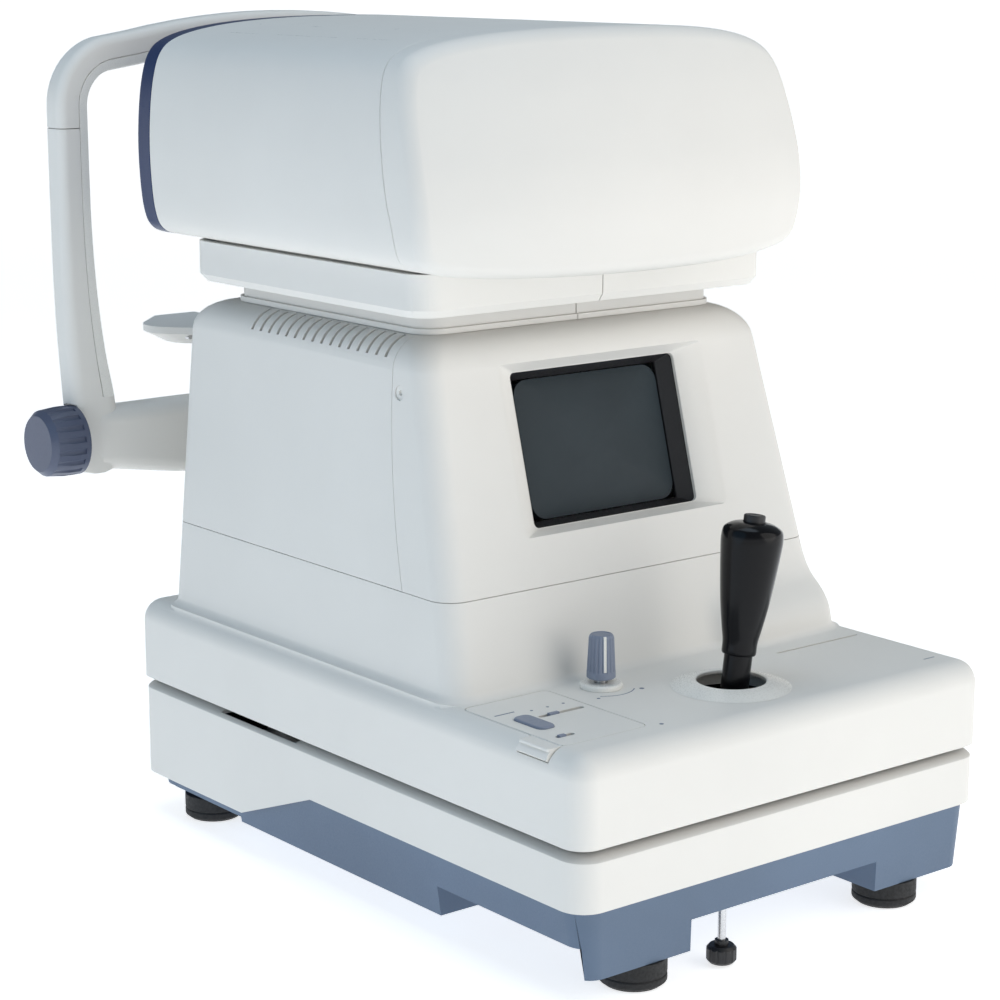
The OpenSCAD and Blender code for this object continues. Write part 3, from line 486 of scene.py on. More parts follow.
QUARTER = [math.radians(90 * k / 8) for k in range(9)]
WALL = 3.0

# ---------------------------------------------------------------- head

shell_low, shell_high = own_box("head_shell")
head_floor, head_top, head_half = shell_low.z, shell_high.z, shell_high.x
head_front = own_box("head_front_cap")[0].y
head_rear = own_box("head_rear_panel")[1].y
skirt_low = own_box("upper_skirt")[0]

head_side = [(0, head_top), (40, head_top - 0.6), (75, head_top - 2.9), (100, head_top - 6.7),
             (head_half - 15.6, head_top - 11.5), (head_half - 8.1, head_top - 18), (head_half - 4,
                                                                                     head_top - 28.5),
             (head_half - 1.3, head_top - 44.5), (head_half, head_top - 66.5), (head_half - 0.8,
                                                                                head_floor + 29),
             (head_half - 2.8, head_floor + 14), (head_half - 6.6, head_floor + 5.5),
             (head_half - 14.6, head_floor + 1.3), (96, head_floor - 1.2), (60, head_floor - 3), (0,
                                                                                                  head_floor - 3.5)]
head_loop = closed_spline([(-x, z) for x, z in head_side] + head_side[-2:0:-1], 5)
front_depth = open_spline([(head_floor + z, head_front + y) for z, y in (
    (-9, 5.5), (9, 2.2), (26, 0), (37, 0.6), (51, 2.8), (71, 8.8), (91, 16), (105, 22.8), (125, 33))], 6)
seam_depth = open_spline([(head_floor + z, 152.4 + y) for z, y in (
    (-20, 0), (18, 0), (33, 2.8), (45, 4.8), (61, 7.2), (80, 10.2), (95, 12.6), (120, 15.8))], 6)
HEAD_CENTRE = (0, head_floor + 57)


def front_y(x, z):
    return along(front_depth, z) + x * x / 650


def head_ring(inset, depth):
    return [(x, depth(x, z), z) for x, z in inset_loop(head_loop, inset)]


def floor_clamped(ring):
    return [(x, y, max(z, head_floor)) for x, y, z in ring]


def bowl(inset, back, edge):
    """Rings from the side of the cap round its front edge to the middle of its front."""
    rings = [head_ring(inset + edge * (1 - math.cos(a)), lambda x, z,
                       a=a: front_y(x, z) + back + edge * (1 - math.sin(a)))
             for a in QUARTER]
    last = inset_loop(head_loop, inset + edge)
    for s in (0.86, 0.7, 0.54, 0.38, 0.22, 0.08):
        ring = [(HEAD_CENTRE[0] + s * (x - HEAD_CENTRE[0]), HEAD_CENTRE[1] + s * (z - HEAD_CENTRE[1])) for x,
                z in last]
        rings.append([(x, front_y(x, z) + back, z) for x, z in ring])
    return rings


def seam_at(offset):
    return lambda x, z: along(seam_depth, z) + offset


def midway(edge, back):
    """Halfway between the seam and the start of the front edge's rounding."""
    return lambda x, z: (along(seam_depth, z) + front_y(x, z) + back + edge) / 2


outer = [head_ring(0.35, seam_at(0)), head_ring(0, seam_at(-0.5)), head_ring(0, midway(6.5, 0))] + bowl(0, 0,
                                                                                                        6.5)
inner = [head_ring(WALL, seam_at(0)), head_ring(WALL, midway(4, WALL))] + bowl(WALL, WALL, 4)
cap = loft("head_front", inner[::-1] + outer, WHITE)
cut(cap, block("lip", -150, 150, skirt_low.y - 0.4, 200, head_floor - 30, head_floor, WHITE))
done(cap, "head_front", "head", "head_front_cap", width=0.25, angle=50)

REAR_RIM = 15
rear_seam = head_rear - REAR_RIM - 0.3
shell_rings = [floor_clamped(head_ring(inset, depth)) for inset, depth in (
    (0.35, seam_at(0.35)), (0, seam_at(0.85)), (0, seam_at(12)), (0, lambda x, z: rear_seam - 0.4),
    (0.3, lambda x, z: rear_seam), (WALL, lambda x, z: rear_seam), (WALL, seam_at(0.35)))]
for ring in shell_rings[5:]:
    for i, (x, y, z) in enumerate(ring):
        ring[i] = (x, y, max(z, head_floor + WALL))
shell = loft("head_casing", shell_rings + [shell_rings[0]], WHITE, caps=(False, False))
cut(shell, block("floor_hole", -102, 102, 158, 346, head_floor - 5, head_floor + 10, WHITE))
done(shell, "head_casing", "head", "head_shell", width=0.25, angle=50)

rear_rings = [(6, -REAR_RIM), (0.3, -REAR_RIM), (0, -REAR_RIM + 0.3), (0, -5)] + [
    (5 * (1 - math.cos(a)), -5 + 5 * math.sin(a)) for a in QUARTER[1:]]
panel_rings = [floor_clamped(head_ring(i, lambda x, z, d=d: head_rear + d)) for i, d in rear_rings]
back_inner = floor_clamped(head_ring(6, lambda x, z: head_rear - 4))
panel = loft("head_rear_cover", [back_inner] + panel_rings, NAVY)
lens_z = (own_box("objective_lens")[0].z + own_box("objective_lens")[1].z) / 2
cut(panel,
    lathe("window", [(24, head_rear - 12), (24, head_rear - 2), (26, head_rear + 1)], (0, 0, lens_z), NAVY,
          "Y"))
done(panel, "head_rear_cover", "head", "head_rear_panel", width=0.4, angle=50)


def head_top_z(x):
    """Height of the head's top surface at x."""
    return along(sorted((abs(px), pz) for px, pz in head_side[:5]), abs(x))


def lamp_reflection_strip(name, near_x, far_x, near_ys, far_ys):
    """Pale four-sided strip let into the top of the head: a painted reflection of the lamps on the glossy top, built as
    a thin plate.
    """
    rings = []
    for trim, lift in ((0, -0.4), (0, 0.05), (0.4, 0.09)):
        ring = []
        for k in range(9):
            t = k / 8
            ring.append((near_x + trim + (far_x - near_x - 2 * trim) * t,
                         near_ys[0] + trim + (far_ys[0] - near_ys[0]) * t))
        for k in range(9):
            t = 1 - k / 8
            ring.append((near_x + trim + (far_x - near_x - 2 * trim) * t,
                         near_ys[1] - trim + (far_ys[1] - near_ys[1]) * t))
        rings.append([(x, y, head_top_z(x) + lift) for x, y in ring])
    place(loft(name, rings, COLLAR), "head")


# ---------------------------------------------------------------- stage cover and tower

deck = own_box("control_lid")[1].z
stage_low, stage_high = own_box("stage_cover")
stage_half = own_box("stage_cover")[1].x
stage_depth = stage_high.y
split = own_box("tower_rear_cover")[0].z
tower_top = own_box("tower_rear_cover")[1].z
tower_rear = own_box("tower_rear_cover")[1].y
stick_low, stick_high = own_box("joystick_collar")
stick_x, stick_y = (stick_low.x + stick_high.x) / 2, (stick_low.y + stick_high.y) / 2
LEAN = 0.275
cheek_rise = [(deck - 4, 9.3), (deck, 9.5), (deck + 6.5, 10.6), (deck + 11.5, 11), (deck + 16.5, 9.9),
              (deck + 21.5, 7),
              (deck + 26.5, 3.2), (deck + 31.5, 1.2), (deck + 37.5, 0.2), (deck + 43.5, 0), (400, 0)]
cheek_rise = open_spline(cheek_rise[:-1], 4) + cheek_rise[-1:]


def tower_half(z):
    return 129 - 0.09 * (z - deck)


def tower_front(z):
    return 103.5 + LEAN * (z - deck)


def bulge(x, z):
    return along(cheek_rise, z) * (1 + (129 - min(x, 129)) / 65 * 0.42) * smoothstep(40, 66, x)


def lower_ring(z, inset=0.0, flare=0.0):
    y0 = tower_front(z) + inset - flare
    ring = plan_ring(tower_half(z) - inset + flare, y0, tower_rear - inset + flare, 13 - inset + flare, z, 10,
                     60, 4)
    return [(x, y - bulge(x, z) if y < y0 + 14 else y, z) for x, y, z in ring]


def stage_rings(inset, z0):
    r = 12 - inset / 2
    top = deck - inset
    rings = [plan_ring(stage_half - inset, inset, stage_depth - inset, r, z, 10) for z in (z0, top - r)]
    for a in QUARTER[1:]:
        i = inset + r * (1 - math.cos(a))
        rings.append(plan_ring(stage_half - i, i, stage_depth - i, r * math.cos(a), top - r + r * math.sin(a),
                               10))
    return rings


FLARE = 4.0
low_rings = [lower_ring(deck - 5, 0, FLARE)]
for h in (0, 0.3, 0.8, 1.5, 2.4, 3.2, FLARE):
    low_rings.append(lower_ring(deck + h, 0, FLARE - math.sqrt(FLARE ** 2 - (FLARE - h) ** 2)))
low_rings += [lower_ring(deck + h) for h in (7, 9, 11, 13, 15, 17, 19, 21, 23, 25, 27, 30, 33, 37, 41)]
low_rings += [lower_ring(split - 0.5), lower_ring(split - 0.3, 0.12)]
stage = loft("stage_casing", stage_rings(0, stage_low.z), WHITE)
join_solid(stage, loft("lower", low_rings, WHITE))
hollow = loft("hollow", stage_rings(WALL, stage_low.z - 2), WHITE)
join_solid(hollow,
           loft("lower_in", [lower_ring(z, WALL) for z in (deck - 8, deck + 4, deck + 10, deck + 14, deck + 18,
                                                                   deck + 22, deck + 26, deck + 31, split + 4)], WHITE))
cut(stage, hollow)

LID_MID = (-102.25, 61)


def flat_form(name, middle, levels, mat=WHITE):
    """Rounded rectangles seen from above: (width, depth, corner radius, height) from the bottom up."""
    return loft(name,
                [[(middle[0] + u, middle[1] + v, z) for u, v in rounded_rect(w, d, r)] for w, d, r,
                 z in levels], mat)


bright_low, bright_high = own_box("knob_collar")
bright_x, bright_y = (bright_low.x + bright_high.x) / 2, (bright_low.y + bright_high.y) / 2
cut(stage,
    lathe("stick_hole", [(26, deck - 6), (26, deck + 6)], (stick_x, stick_y, 0), WHITE),
    lathe("knob_hole", [(9, deck - 6), (9, deck + 6)], (bright_x, bright_y, 0), WHITE),
    flat_form("lid_well", LID_MID, ((53.1, 76.6, 4.3, deck - 2.1), (53.1, 76.6, 4.3, deck + 5))),
    block("lid_floor", -125.5, -79, 26, 96, deck - 6, deck - 1, WHITE),
    block("lid_pins", -77.6, -76.2, 20.7, 101.3, deck - 1.6, deck - 0.2, WHITE),
    block("finger_notch", -stage_half - 1, -127.5, 24, 47, deck - 7, deck + 5, WHITE),
    block("paper_slot", 62, 122, 75.2, 76.8, deck - 6, deck + 5, WHITE))
done(stage, "stage_casing", "stage", "stage_cover", width=0, angle=50)


lid = flat_form("lid", LID_MID, ((52.5, 76, 4, deck - 1.8), (52.5, 76, 4, deck - 0.3), (51.9, 75.4, 3.7, deck)))
join_solid(lid,
           flat_form("tab", (-131.6, 35.5),
                     ((9.8, 22, 1.5, deck - 1.75), (9.8, 22, 1.5, deck - 0.7), (9.2, 21.4, 1.2, deck - 0.4))),
           extrude_y("lip",
                     [(-128.4, deck - 6.5), (-136.6, deck - 6.5), (-137.7, deck - 5.6), (-136.9, deck - 3.2),
                      (-135.2, deck - 1.4),
                             (-132.6, deck - 0.6), (-128.4, deck - 0.5)], 24.5, 46.5, WHITE),
           lathe("pins", [(0.6, 21), (0.6, 101)], (-76.9, 0, deck - 0.9), WHITE, "Y", 16))
cut(lid, flat_form("button_way", (-116, 59.5), ((10.6, 23.2, 3.8, deck - 9), (10.6, 23.2, 3.8, deck + 5))),
    flat_form("slot", (-94, 65.5), ((28, 3, 1.4, deck - 9), (28, 3, 1.4, deck + 5))),
    flat_form("small_slot", (-117, 35.5), ((11, 3, 1.4, deck - 9), (11, 3, 1.4, deck + 5))))
done(lid, "flap", "control_lid", "control_lid", width=0, angle=45)
done(flat_form("button", (-116, 59.5),
               ((10, 22.6, 3.6, deck - 6), (10, 22.6, 3.6, deck + 0.5), (9.5, 22.1, 3.4, deck + 0.95),
                                        (8.4, 21, 3,
                                         deck + 1.2)), BUTTON), "print_key", "print_button", "print_button",
     width=0, angle=60)


def upper_tower(name, inset):
    top = tower_top - inset
    side, rear = 16 - inset, 22 - inset
    z1 = top - side

    def ring(z, i, j, zi):
        return plan_ring(tower_half(zi) - inset - i, tower_front(zi) + inset + i, tower_rear - inset - j,
                         13 - inset / 2, z, 10)

    rings = [ring(split - inset, 0.12, 0.12, split), ring(split + 0.3 - inset * 1.2, 0, 0, split),
             ring(z1, 0, 0, z1)]
    for a in QUARTER[1:]:
        z = z1 + side * math.sin(a)
        rings.append(ring(z, side * (1 - math.cos(a)), rear * (1 - math.cos(a)), z))
    return loft(name, rings, WHITE)


def drum(name, radius):
    pts = [(-228 + radius * math.cos(math.radians(t / 2)), 297 + radius * math.sin(math.radians(t / 2)))
           for t in range(-60, 41)]
    return extrude_x(name, [(-100, 420), (-100, 90)] + pts, -170, 170, WHITE)


tower = upper_tower("tower", 0)
cut(tower, upper_tower("tower_in", WALL))
cut(tower, block("neck", -94.5, 94.5, 172, 330, tower_top - 20, tower_top + 10, WHITE))
rear_cover = copy_of(tower, "tower_cover")
cut(rear_cover, drum("seam_far", 400.4))
vents = []
for side in (-1, 1):
    for i in range(16):
        corners = [(side * 108 + 0.7071 * (u - v), 291 + 0.7071 * (u + v) * 1.0) for u, v in
                   ((-11, -8), (11, -8), (11, 8), (-11, 8))]
        if side < 0:
            corners = [(side * 108 - 0.7071 * (u - v), 291 + 0.7071 * (u + v)) for u, v in
                       ((-11, -8), (11, -8), (11, 8), (-11, 8))]
        vents.append(extrude_y("vent", corners, 178.9 + 8 * i, 181.1 + 8 * i, WHITE))
cut(rear_cover, *vents)
done(rear_cover, "tower_cover", "stage", "tower_rear_cover", width=0.3, angle=50)

bezel = boolean(tower, [drum("seam_near", 400)], "INTERSECT")
screen_z = 236.0
screen_y = tower_front(screen_z) + 8.6
lean = math.atan(LEAN)


def on_screen(x, d, h):
    return (x, screen_y + d * math.cos(lean) + h * math.sin(lean),
            screen_z - d * math.sin(lean) + h * math.cos(lean))


def screen_block(name, *steps, mat=WHITE):
    return loft(name, [[on_screen(u, d, v) for u, v in rounded_rect(w, h, r)] for w, h, r, d in steps], mat)


join_solid(bezel, screen_block("frame", (143.5, 91, 5, -7.4), (122, 88, 3, 2)))
cut(bezel,
    screen_block("recess", (142.1, 89, 4.5, -10.5), (140.5, 88, 4, -8.6), (113, 81, 3, -0.4),
                 (111.6, 79.6, 3, 0.1),
                        (111.6, 79.6, 3, 9)))
tube_face = [[on_screen(u * s, 4.2 + 4.6 * s ** 2.2, v * s) for u, v in rounded_rect(97, 72, 9)] for s in (0.06,
                                                                                                           0.25, 0.45, 0.62, 0.78, 0.9, 1)]
tube_body = [[on_screen(u, d, v) for u, v in rounded_rect(w, h, r)] for w, h, r,
             d in ((97, 72, 9, 16), (92, 68, 9, 24), (60, 46, 12, 70))]
tube = loft("tube_glass", tube_face + tube_body, TUBE)
done(tube, "tube_glass", "stage", "picture_tube", width=0, angle=50)
case_low, case_high = own_box("case_screws")
screw_y, screw_z = (case_low.y + case_high.y) / 2, (case_low.z + case_high.z) / 2
cut(bezel, lathe("screw_left", [(3.8, -130), (3.8, -100)], (0, screw_y, screw_z), WHITE, "X"),
    lathe("screw_right", [(3.8, 100), (3.8, 130)], (0, screw_y, screw_z), WHITE, "X"))
done(bezel, "tower_face", "stage", "tower_front_bezel", width=0.3, angle=50)

# ---------------------------------------------------------------- face frame

beam_high = own_box("crossbeam_and_posts")[1]
arch_high = own_box("forehead_arch")[1]
POST_INSET = 4.5
frame_half, frame_y, arch_z = beam_high.x + POST_INSET, own_box("forehead_arch")[0].y, own_box("forehead_arch")[0].z
frame_top = arch_high.z


BAR_W, CROWN_R = 19.5, 508


def frame_stations(z_low):
    """Pairs of (inner, outer) edge points, from the foot of the right post over the arch to the left."""
    outer_edge = open_spline([(frame_half - 11, 192), (frame_half - 8.6, 225), (frame_half - 6.2, 262),
                              (frame_half - 5, 296), (frame_half - 4.6, 335), (frame_half - 4.5, arch_z)], 5)
    inner_edge = open_spline([(frame_half - 38, 192), (frame_half - 37.6, 225), (frame_half - 31.5, 257),
                              (frame_half - 27.2, 290), (frame_half - 24.6, 330), (frame_half - 24, arch_z)], 5)
    half = list(zip(inner_edge, outer_edge))
    cx, cz, r_in = frame_half - 43.5, frame_top - 51, 39 - BAR_W
    half += [((cx + r_in * math.cos(t), cz + r_in * math.sin(t)),
              (cx + 39 * math.cos(t), cz + 39 * math.sin(t)))
             for t in (math.radians(6.9 * k) for k in range(0, 12))]
    half += [(((CROWN_R - BAR_W) * math.sin(t), frame_top - CROWN_R + (CROWN_R - BAR_W) * math.cos(t)),
              (CROWN_R * math.sin(t), frame_top - CROWN_R + CROWN_R * math.cos(t)))
             for t in (math.radians(11.4 - 1.9 * k) for k in range(0, 6))]
    crown = [((0, frame_top - BAR_W), (0, frame_top))]
    mirrored = [((-a[0], a[1]), (-b[0], b[1])) for a, b in half[::-1]]
    return [s for s in half + crown + mirrored if s[1][1] >= z_low]


def frame_bar(name, stations, section, mat):
    """Sweep: section points are (share of the width from the outer edge, y)."""
    rings = []
    for (ix, iz), (ox, oz) in stations:
        width = math.hypot(ox - ix, oz - iz)
        rings.append([(ox + (ix - ox) * s, y, oz + (iz - oz) * s)
                      for s, y in ((u if abs(u) <= 1 else u / width, v) for u, v in section)])
    return loft(name, rings, mat)


def bar_section(width, y0, y1, r):
    return [(0.5 + u / width, (y0 + y1) / 2 + v) for u, v in rounded_rect(width, y1 - y0, r)]


stations = frame_stations(0)
joint = next(i for i, s in enumerate(stations) if s[1][1] >= arch_z - 0.01)
arch_stations = stations[joint:len(stations) - joint]
post_section = bar_section(20, frame_y, frame_y + 18, 5.5)
trim_cut = [(0.65, frame_y - 1), (0.65, frame_y + 1.2), (0.94, frame_y + 1.2), (0.94, frame_y - 1)]
trim_fill = [(0.67, frame_y + 0.1), (0.67, frame_y + 1.15), (0.92, frame_y + 1.15), (0.92, frame_y + 0.1)]
strip_stations = [s for s in stations if s[1][1] >= 228]

arch = frame_bar("face_arch", arch_stations, post_section, WHITE)
cut(arch, frame_bar("groove", strip_stations, trim_cut, WHITE))
done(arch, "face_arch", "base", "forehead_arch", width=0.3, angle=50)
done(frame_bar("face_trim", strip_stations, trim_fill, COLLAR), "face_trim", "base", "frame_trim_strip",
     width=0.15)

axle_z = (own_box("chin_knob")[0].z + own_box("chin_knob")[1].z) / 2
axle_y = (own_box("chin_knob")[0].y + own_box("chin_knob")[1].y) / 2
chin_low, chin_high = own_box("chin_post")
post_y = (chin_low.y + chin_high.y) / 2


def beam_ring(x, depth, low, high, r):
    mid, tall = (low + high) / 2, high - low
    return [(x, axle_y + 3 + u, mid + v) for u, v in rounded_rect(depth, tall, min(r, tall / 2 - 1), 7)]


BEAM = ((21, 10, 196, 221, 4), (22.5, 16, 191.5, 224, 6), (26, 20, 189.3, 225, 8), (32, 22.5, 188.2, 225, 9),
        (75, 25.5, 181.5, 225, 9),
        (111, 25.5, 178, 225, 9))
half_beam = [(frame_half - back, *rest) for back, *rest in BEAM]
posts = loft("face_posts",
             [beam_ring(-x, *rest) for x, *rest in half_beam] + [beam_ring(x, *rest) for x,
                                                                 *rest in half_beam[::-1]],
             WHITE)
post_foot = [((frame_half - 29, 187.6), (frame_half - 18, 187.6)),
             ((frame_half - 35, 189), (frame_half - 12.5, 189))]
right_post = post_foot + [s for s in stations[:joint]] + [((frame_half - 24, arch_z - 0.4),
                                                           (frame_half - 4.5, arch_z - 0.4))]
left_post = [((-a[0], a[1]), (-b[0], b[1])) for a, b in right_post]
join_solid(posts, frame_bar("right_post", right_post, post_section, WHITE),
           frame_bar("left_post", left_post, post_section, WHITE),
           loft("middle", [[(u, 449 + v, z) for u, v in rounded_rect(w, d, 8, 7)] for w, d, z in (
               (78, 47, 188.2), (81, 50, 190), (81, 50, 226), (78, 47, 228))], WHITE))
cut(posts, frame_bar("groove", strip_stations, trim_cut, WHITE),
    lathe("post_bore", [(8.05, 170), (8.05, 250)], (0, post_y, 0), WHITE),
    block("rack_way", -5.4, 5.4, post_y - 10, post_y, 170, 250, WHITE),
    block("pinion_room", -12, 12, 427.5, post_y - 3, 190, 225, WHITE),
    lathe("axle_bore", [(4.05, -170), (4.05, 20)], (0, axle_y, axle_z), WHITE, "X"),
    lathe("knob_room", [(21, -170), (21, -144.2)], (0, axle_y, axle_z), WHITE, "X"))
done(posts, "face_posts", "base", "crossbeam_and_posts", width=0.3, angle=50)

# ---------------------------------------------------------------- joystick and knobs

PIVOT = (stick_x, stick_y, 105.0)
STICK = math.radians(7.6)


def on_stick(obj):
    """Turns a piece built upright at the pivot to the joystick's lean."""
    turn = Matrix.Translation(at(*PIVOT)) @ Matrix.Rotation(STICK, 4, "Y") @ Matrix.Translation(-at(*PIVOT))
    obj.data.transform(turn)
    return obj


grip_profile = open_spline([(7.1, 35.5), (8.6, 36.2), (8.8, 42), (10.3, 50), (12.3, 62), (14, 76), (15.2, 88),
                            (15.55, 94),
                            (14.9, 98.3), (12.8, 100.4), (9.8, 101.8), (7, 102.3), (6.1, 102.4)], 4)
grip = lathe("stick_grip", [(7.1, 18)] + grip_profile, PIVOT, GRIP)
cut(grip, lathe("bore", [(4.05, 10), (4.05, 63)], PIVOT, GRIP),
    lathe("button_bore", [(5.8, 90), (5.8, 110)], PIVOT, GRIP))
done(on_stick(grip), "stick_grip", "joystick_grip", "joystick_grip", width=0.25, angle=50)
button = lathe("stick_button", [(5.45, 95), (5.45, 105.2), (5.2, 105.8), (4.5, 106), (3, 105.7), (1.2, 105.6)],
               PIVOT, BLACK)
done(on_stick(button), "stick_button", "joystick_button", "joystick_button", width=0.15, angle=60)



def fluted(name, profile, centre, flutes, depth, mat):
    """Turned knob with shallow flutes on its side; profile is (radius, height, how much fluting)."""
    steps = flutes * 10
    rings = []
    for radius, height, share in profile:
        ring = []
        for k in range(steps):
            a = 2 * math.pi * k / steps
            r = radius - depth * share * (0.5 + 0.5 * math.cos(flutes * a)) ** 3
            ring.append((centre[0] + r * math.cos(a), centre[1] + r * math.sin(a), height))
        rings.append(ring)
    return loft(name, rings, mat)


skirt_z = deck + 5
knob = fluted("dial",
              [(6.8, skirt_z, 0), (7.3, skirt_z + 0.5, 0), (7.25, skirt_z + 3.4, 0), (7.15, skirt_z + 4, 1),
                       (6.35, skirt_z + 20.6, 1), (6.0, skirt_z + 21.6, 0.6), (5.4, skirt_z + 22.3, 0), (4.7,
                                                                                                         skirt_z + 22.45, 0),
                       (4.3, skirt_z + 22.1, 0)], (bright_x, bright_y), 20, 0.5, BUTTON)
pointer_turn = math.radians(-114)
pointer_x, pointer_y = math.cos(pointer_turn), math.sin(pointer_turn)


def by_pointer(r, side, z):
    return (bright_x + r * pointer_x - side * pointer_y, bright_y + r * pointer_y + side * pointer_x, z)


def pointer_block(name, half, r0, grow, z0, z1, mat):
    low, high = [[by_pointer(r, s, z) for r, s in ((r0, -half), (r1, -half), (r1, half), (r0, half))]
                 for z, r1 in ((z0, 7.25 + grow), (z1, 6.4 + grow))]
    return loft(name, [low, high], mat)


cut(knob, pointer_block("groove", 0.75, 5.6, 2, skirt_z + 4, skirt_z + 30, BUTTON),
    lathe("stem_hole", [(3.02, 100), (3.02, skirt_z + 2)], (bright_x, bright_y, 0), BUTTON))
stem = lathe("dial_stem", [(3, 112), (3, skirt_z + 1.8)], (bright_x, bright_y, 0), STEEL)
done(knob, "dial", "brightness_knob", "brightness_knob", width=0.12, angle=50)
done(stem, "dial_stem", "brightness_knob", width=0.2, angle=50)
done(pointer_block("dial_pointer", 0.72, 5.4, -0.1, skirt_z + 4.1, skirt_z + 22.2, COLLAR), "dial_pointer",
     "brightness_knob",
     width=0.1)

# ---------------------------------------------------------------- finishes of the CAD pieces that stay

cad(TRAY, 1.6, "bottom_tray")
cad(WHITE, 0.7, "base_cover", "column_cover")
cad(WHITE, 0.25, "lower_skirt", "upper_skirt")
cad(WHITE, 1.2, "chin_rest")
cad(WHITE, 0.25, "case_screws")
cad(COLLAR, 0.3, "joystick_collar", "knob_collar")
cad(FOOT, 1.0, "rubber_feet")
cad(KNOB, 0.5, "chin_knob")
cad(SILICONE, 1.5, "forehead_pad")
cad(BUTTON, 0.25, "mode_slider", "target_slider")
cad(BLACK, 0.4, "screen_surround", "power_inlet", "data_socket", "power_rocker")
cad(BLACK, 0.5, "transport_knob", "printer_mechanism")
cad(LENS, 0.3, "objective_lens")
cad(STEEL, 0.3, "transport_screw", "chin_post", "chin_pins", "chin_shaft", "cross_shaft", "guide_columns",
    "lift_screw")
cad(STEEL, 0.2, "joystick_stem")
cad(ANODISED, 0.2, "gimbal_ring", "gimbal_frame", "optics_bench", "lift_motor")
cad(BRASS, 0.2, "shaft_bushes", "rack_wheels", "guide_racks")
cad(PLATE, 0.3, "base_plate", "head_chassis", "power_supply")
cad(CAST, 0.4, "stage_chassis", "support_column")
cad(BOARD, 0.2, "main_board", "switch_board")
cad(PAPER, 0.2, "paper_roll")

# ---------------------------------------------------------------- printed marks on the deck

MARK = surface("printed_mark", (0.17, 0.2, 0.28), rough=(0.45, 0.6), grain=900, grain_depth=0.01, vary=0.1)


def mark(name, body, outline, top=None):
    """Raised ink: a thin plate on the deck."""
    z = deck if top is None else top
    rings = [[(x, y, z + lift) for x, y in outline] for lift in (-0.05, 0.05)]
    place(loft(name, rings, MARK), body)


def spot(cx, cy, r, n=20):
    return [(cx + r * math.cos(2 * math.pi * k / n), cy + r * math.sin(2 * math.pi * k / n)) for k in range(n)]


def bar(x0, x1, y0, y1):
    return [(x0, y0), (x1, y0), (x1, y1), (x0, y1)]


sweep = [math.radians(228 + 84 * k / 12) for k in range(13)]
mark("dial_scale", "stage", [(bright_x + 17 * math.cos(a), bright_y + 17 * math.sin(a)) for a in sweep]
     + [(bright_x + 16.4 * math.cos(a), bright_y + 16.4 * math.sin(a)) for a in sweep[::-1]])
mark("dial_dot_low", "stage", spot(bright_x - 14.2, bright_y - 14.6, 0.9))
mark("dial_dot_high", "stage", spot(bright_x + 14.2, bright_y - 14.6, 1.3))
mark("deck_dot", "stage", spot(-69.5, 20.9, 1.1))
mark("deck_dash", "stage", bar(113, 121, 20, 20.7))
mark("lid_dot_near", "control_lid", spot(-104, 76, 0.8), deck)
mark("lid_dot_mid", "control_lid", spot(-94, 76, 0.8), deck)
mark("lid_dot_far", "control_lid", spot(-84, 76, 0.8), deck)
mark("lid_bar", "control_lid", bar(-124, -112, 79, 80), deck)

# Three pale strips on the head's top: painted reflections of the studio lamps, not parts of the instrument.
lamp_reflection_strip("lamp_reflection_near", -101, -46, (191, 220), (200, 229))
lamp_reflection_strip("lamp_reflection_mid", -101, -51, (237, 293), (241, 295))
lamp_reflection_strip("lamp_reflection_far", -101, -51, (309, 338), (317, 350))

# ---------------------------------------------------------------- floor, light and camera

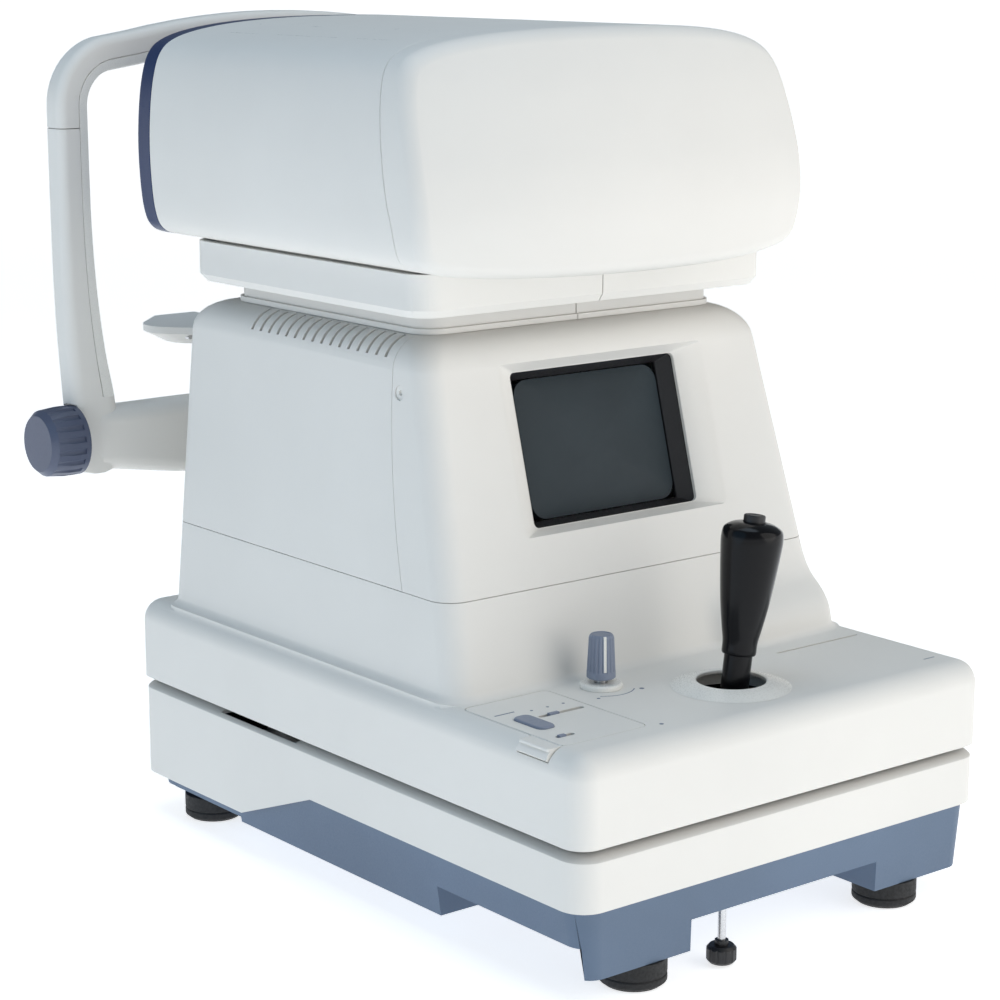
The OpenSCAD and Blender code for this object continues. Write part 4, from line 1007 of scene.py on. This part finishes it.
floor_mat = surface("studio_sweep", (0.93, 0.93, 0.93), rough=(0.6, 0.7), grain=40, grain_depth=0.0, blotch=0.8,
                    vary=0.006)
sweep_bsdf = floor_mat.node_tree.nodes["Principled BSDF"]
sweep_bsdf.inputs["Emission Color"].default_value = (1, 1, 1, 1)
sweep_bsdf.inputs["Emission Strength"].default_value = 0.72
bowl_profile = [(0, 0), (600, 0), (1800, 0), (3600, 0)] + [
    (3600 + 1100 * math.sin(math.radians(9 * k)), 1100 - 1100 * math.cos(math.radians(9 * k))) for k in range(1,
                                                                                                              9)]
bowl_points = [(r * math.cos(math.radians(5 * k)), 190 + r * math.sin(math.radians(5 * k)), z)
               for r, z in bowl_profile[1:] for k in range(72)] + [(0, 190, 0)]
bowl_faces = [(72 * a + k, 72 * a + (k + 1) % 72, 72 * (a + 1) + (k + 1) % 72, 72 * (a + 1) + k)
              for a in range(len(bowl_profile) - 2) for k in range(72)] + [
    (k, (k + 1) % 72, len(bowl_points) - 1) for k in range(72)]
floor = smooth(link_mesh("studio_sweep", bowl_points, bowl_faces, floor_mat))


def soft_light(name, place_mm, aim_mm, size, power, colour):
    data = bpy.data.lights.new(name, "AREA")
    data.shape = "DISK"
    data.size = size
    data.energy = power
    data.color = colour
    lamp = bpy.data.objects.new(name, data)
    lamp.location = at(*place_mm)
    lamp.rotation_euler = (at(*aim_mm) - at(*place_mm)).to_track_quat("-Z", "Y").to_euler()
    bpy.context.scene.collection.objects.link(lamp)


soft_light("key", (900, -1700, 1100), (0, 150, 250), 2.6, 24, (1.0, 0.955, 0.9))
soft_light("cool_side", (-1900, 300, 900), (0, 150, 230), 2.0, 4.5, (0.2, 0.6, 1.0))
soft_light("top", (-100, 250, 1900), (0, 200, 200), 1.4, 11, (0.72, 0.86, 1.0))

world = bpy.data.worlds.new("studio")
bpy.context.scene.world = world
world.use_nodes = True
sky = world.node_tree.nodes["Background"]
sky.inputs["Color"].default_value = (0.82, 0.92, 1.0, 1)
sky.inputs["Strength"].default_value = 0.2

camera_data = bpy.data.cameras.new("camera")
camera_data.sensor_width = 36
camera_data.lens = 92.8
camera = bpy.data.objects.new("camera", camera_data)
camera.location = at(-864.4, -845.2, 485.1)
turn, tilt = math.radians(38.80), math.radians(12.13)
look = Vector((math.sin(turn) * math.cos(tilt), math.cos(turn) * math.cos(tilt), -math.sin(tilt)))
camera.rotation_euler = (look.to_track_quat("-Z", "Y").to_matrix().to_4x4() @ Matrix.Rotation(math.radians(0.1),
                                                                                              4, "Z")).to_euler()
bpy.context.scene.collection.objects.link(camera)
bpy.context.scene.camera = camera
bpy.context.scene.view_settings.view_transform = "Standard"
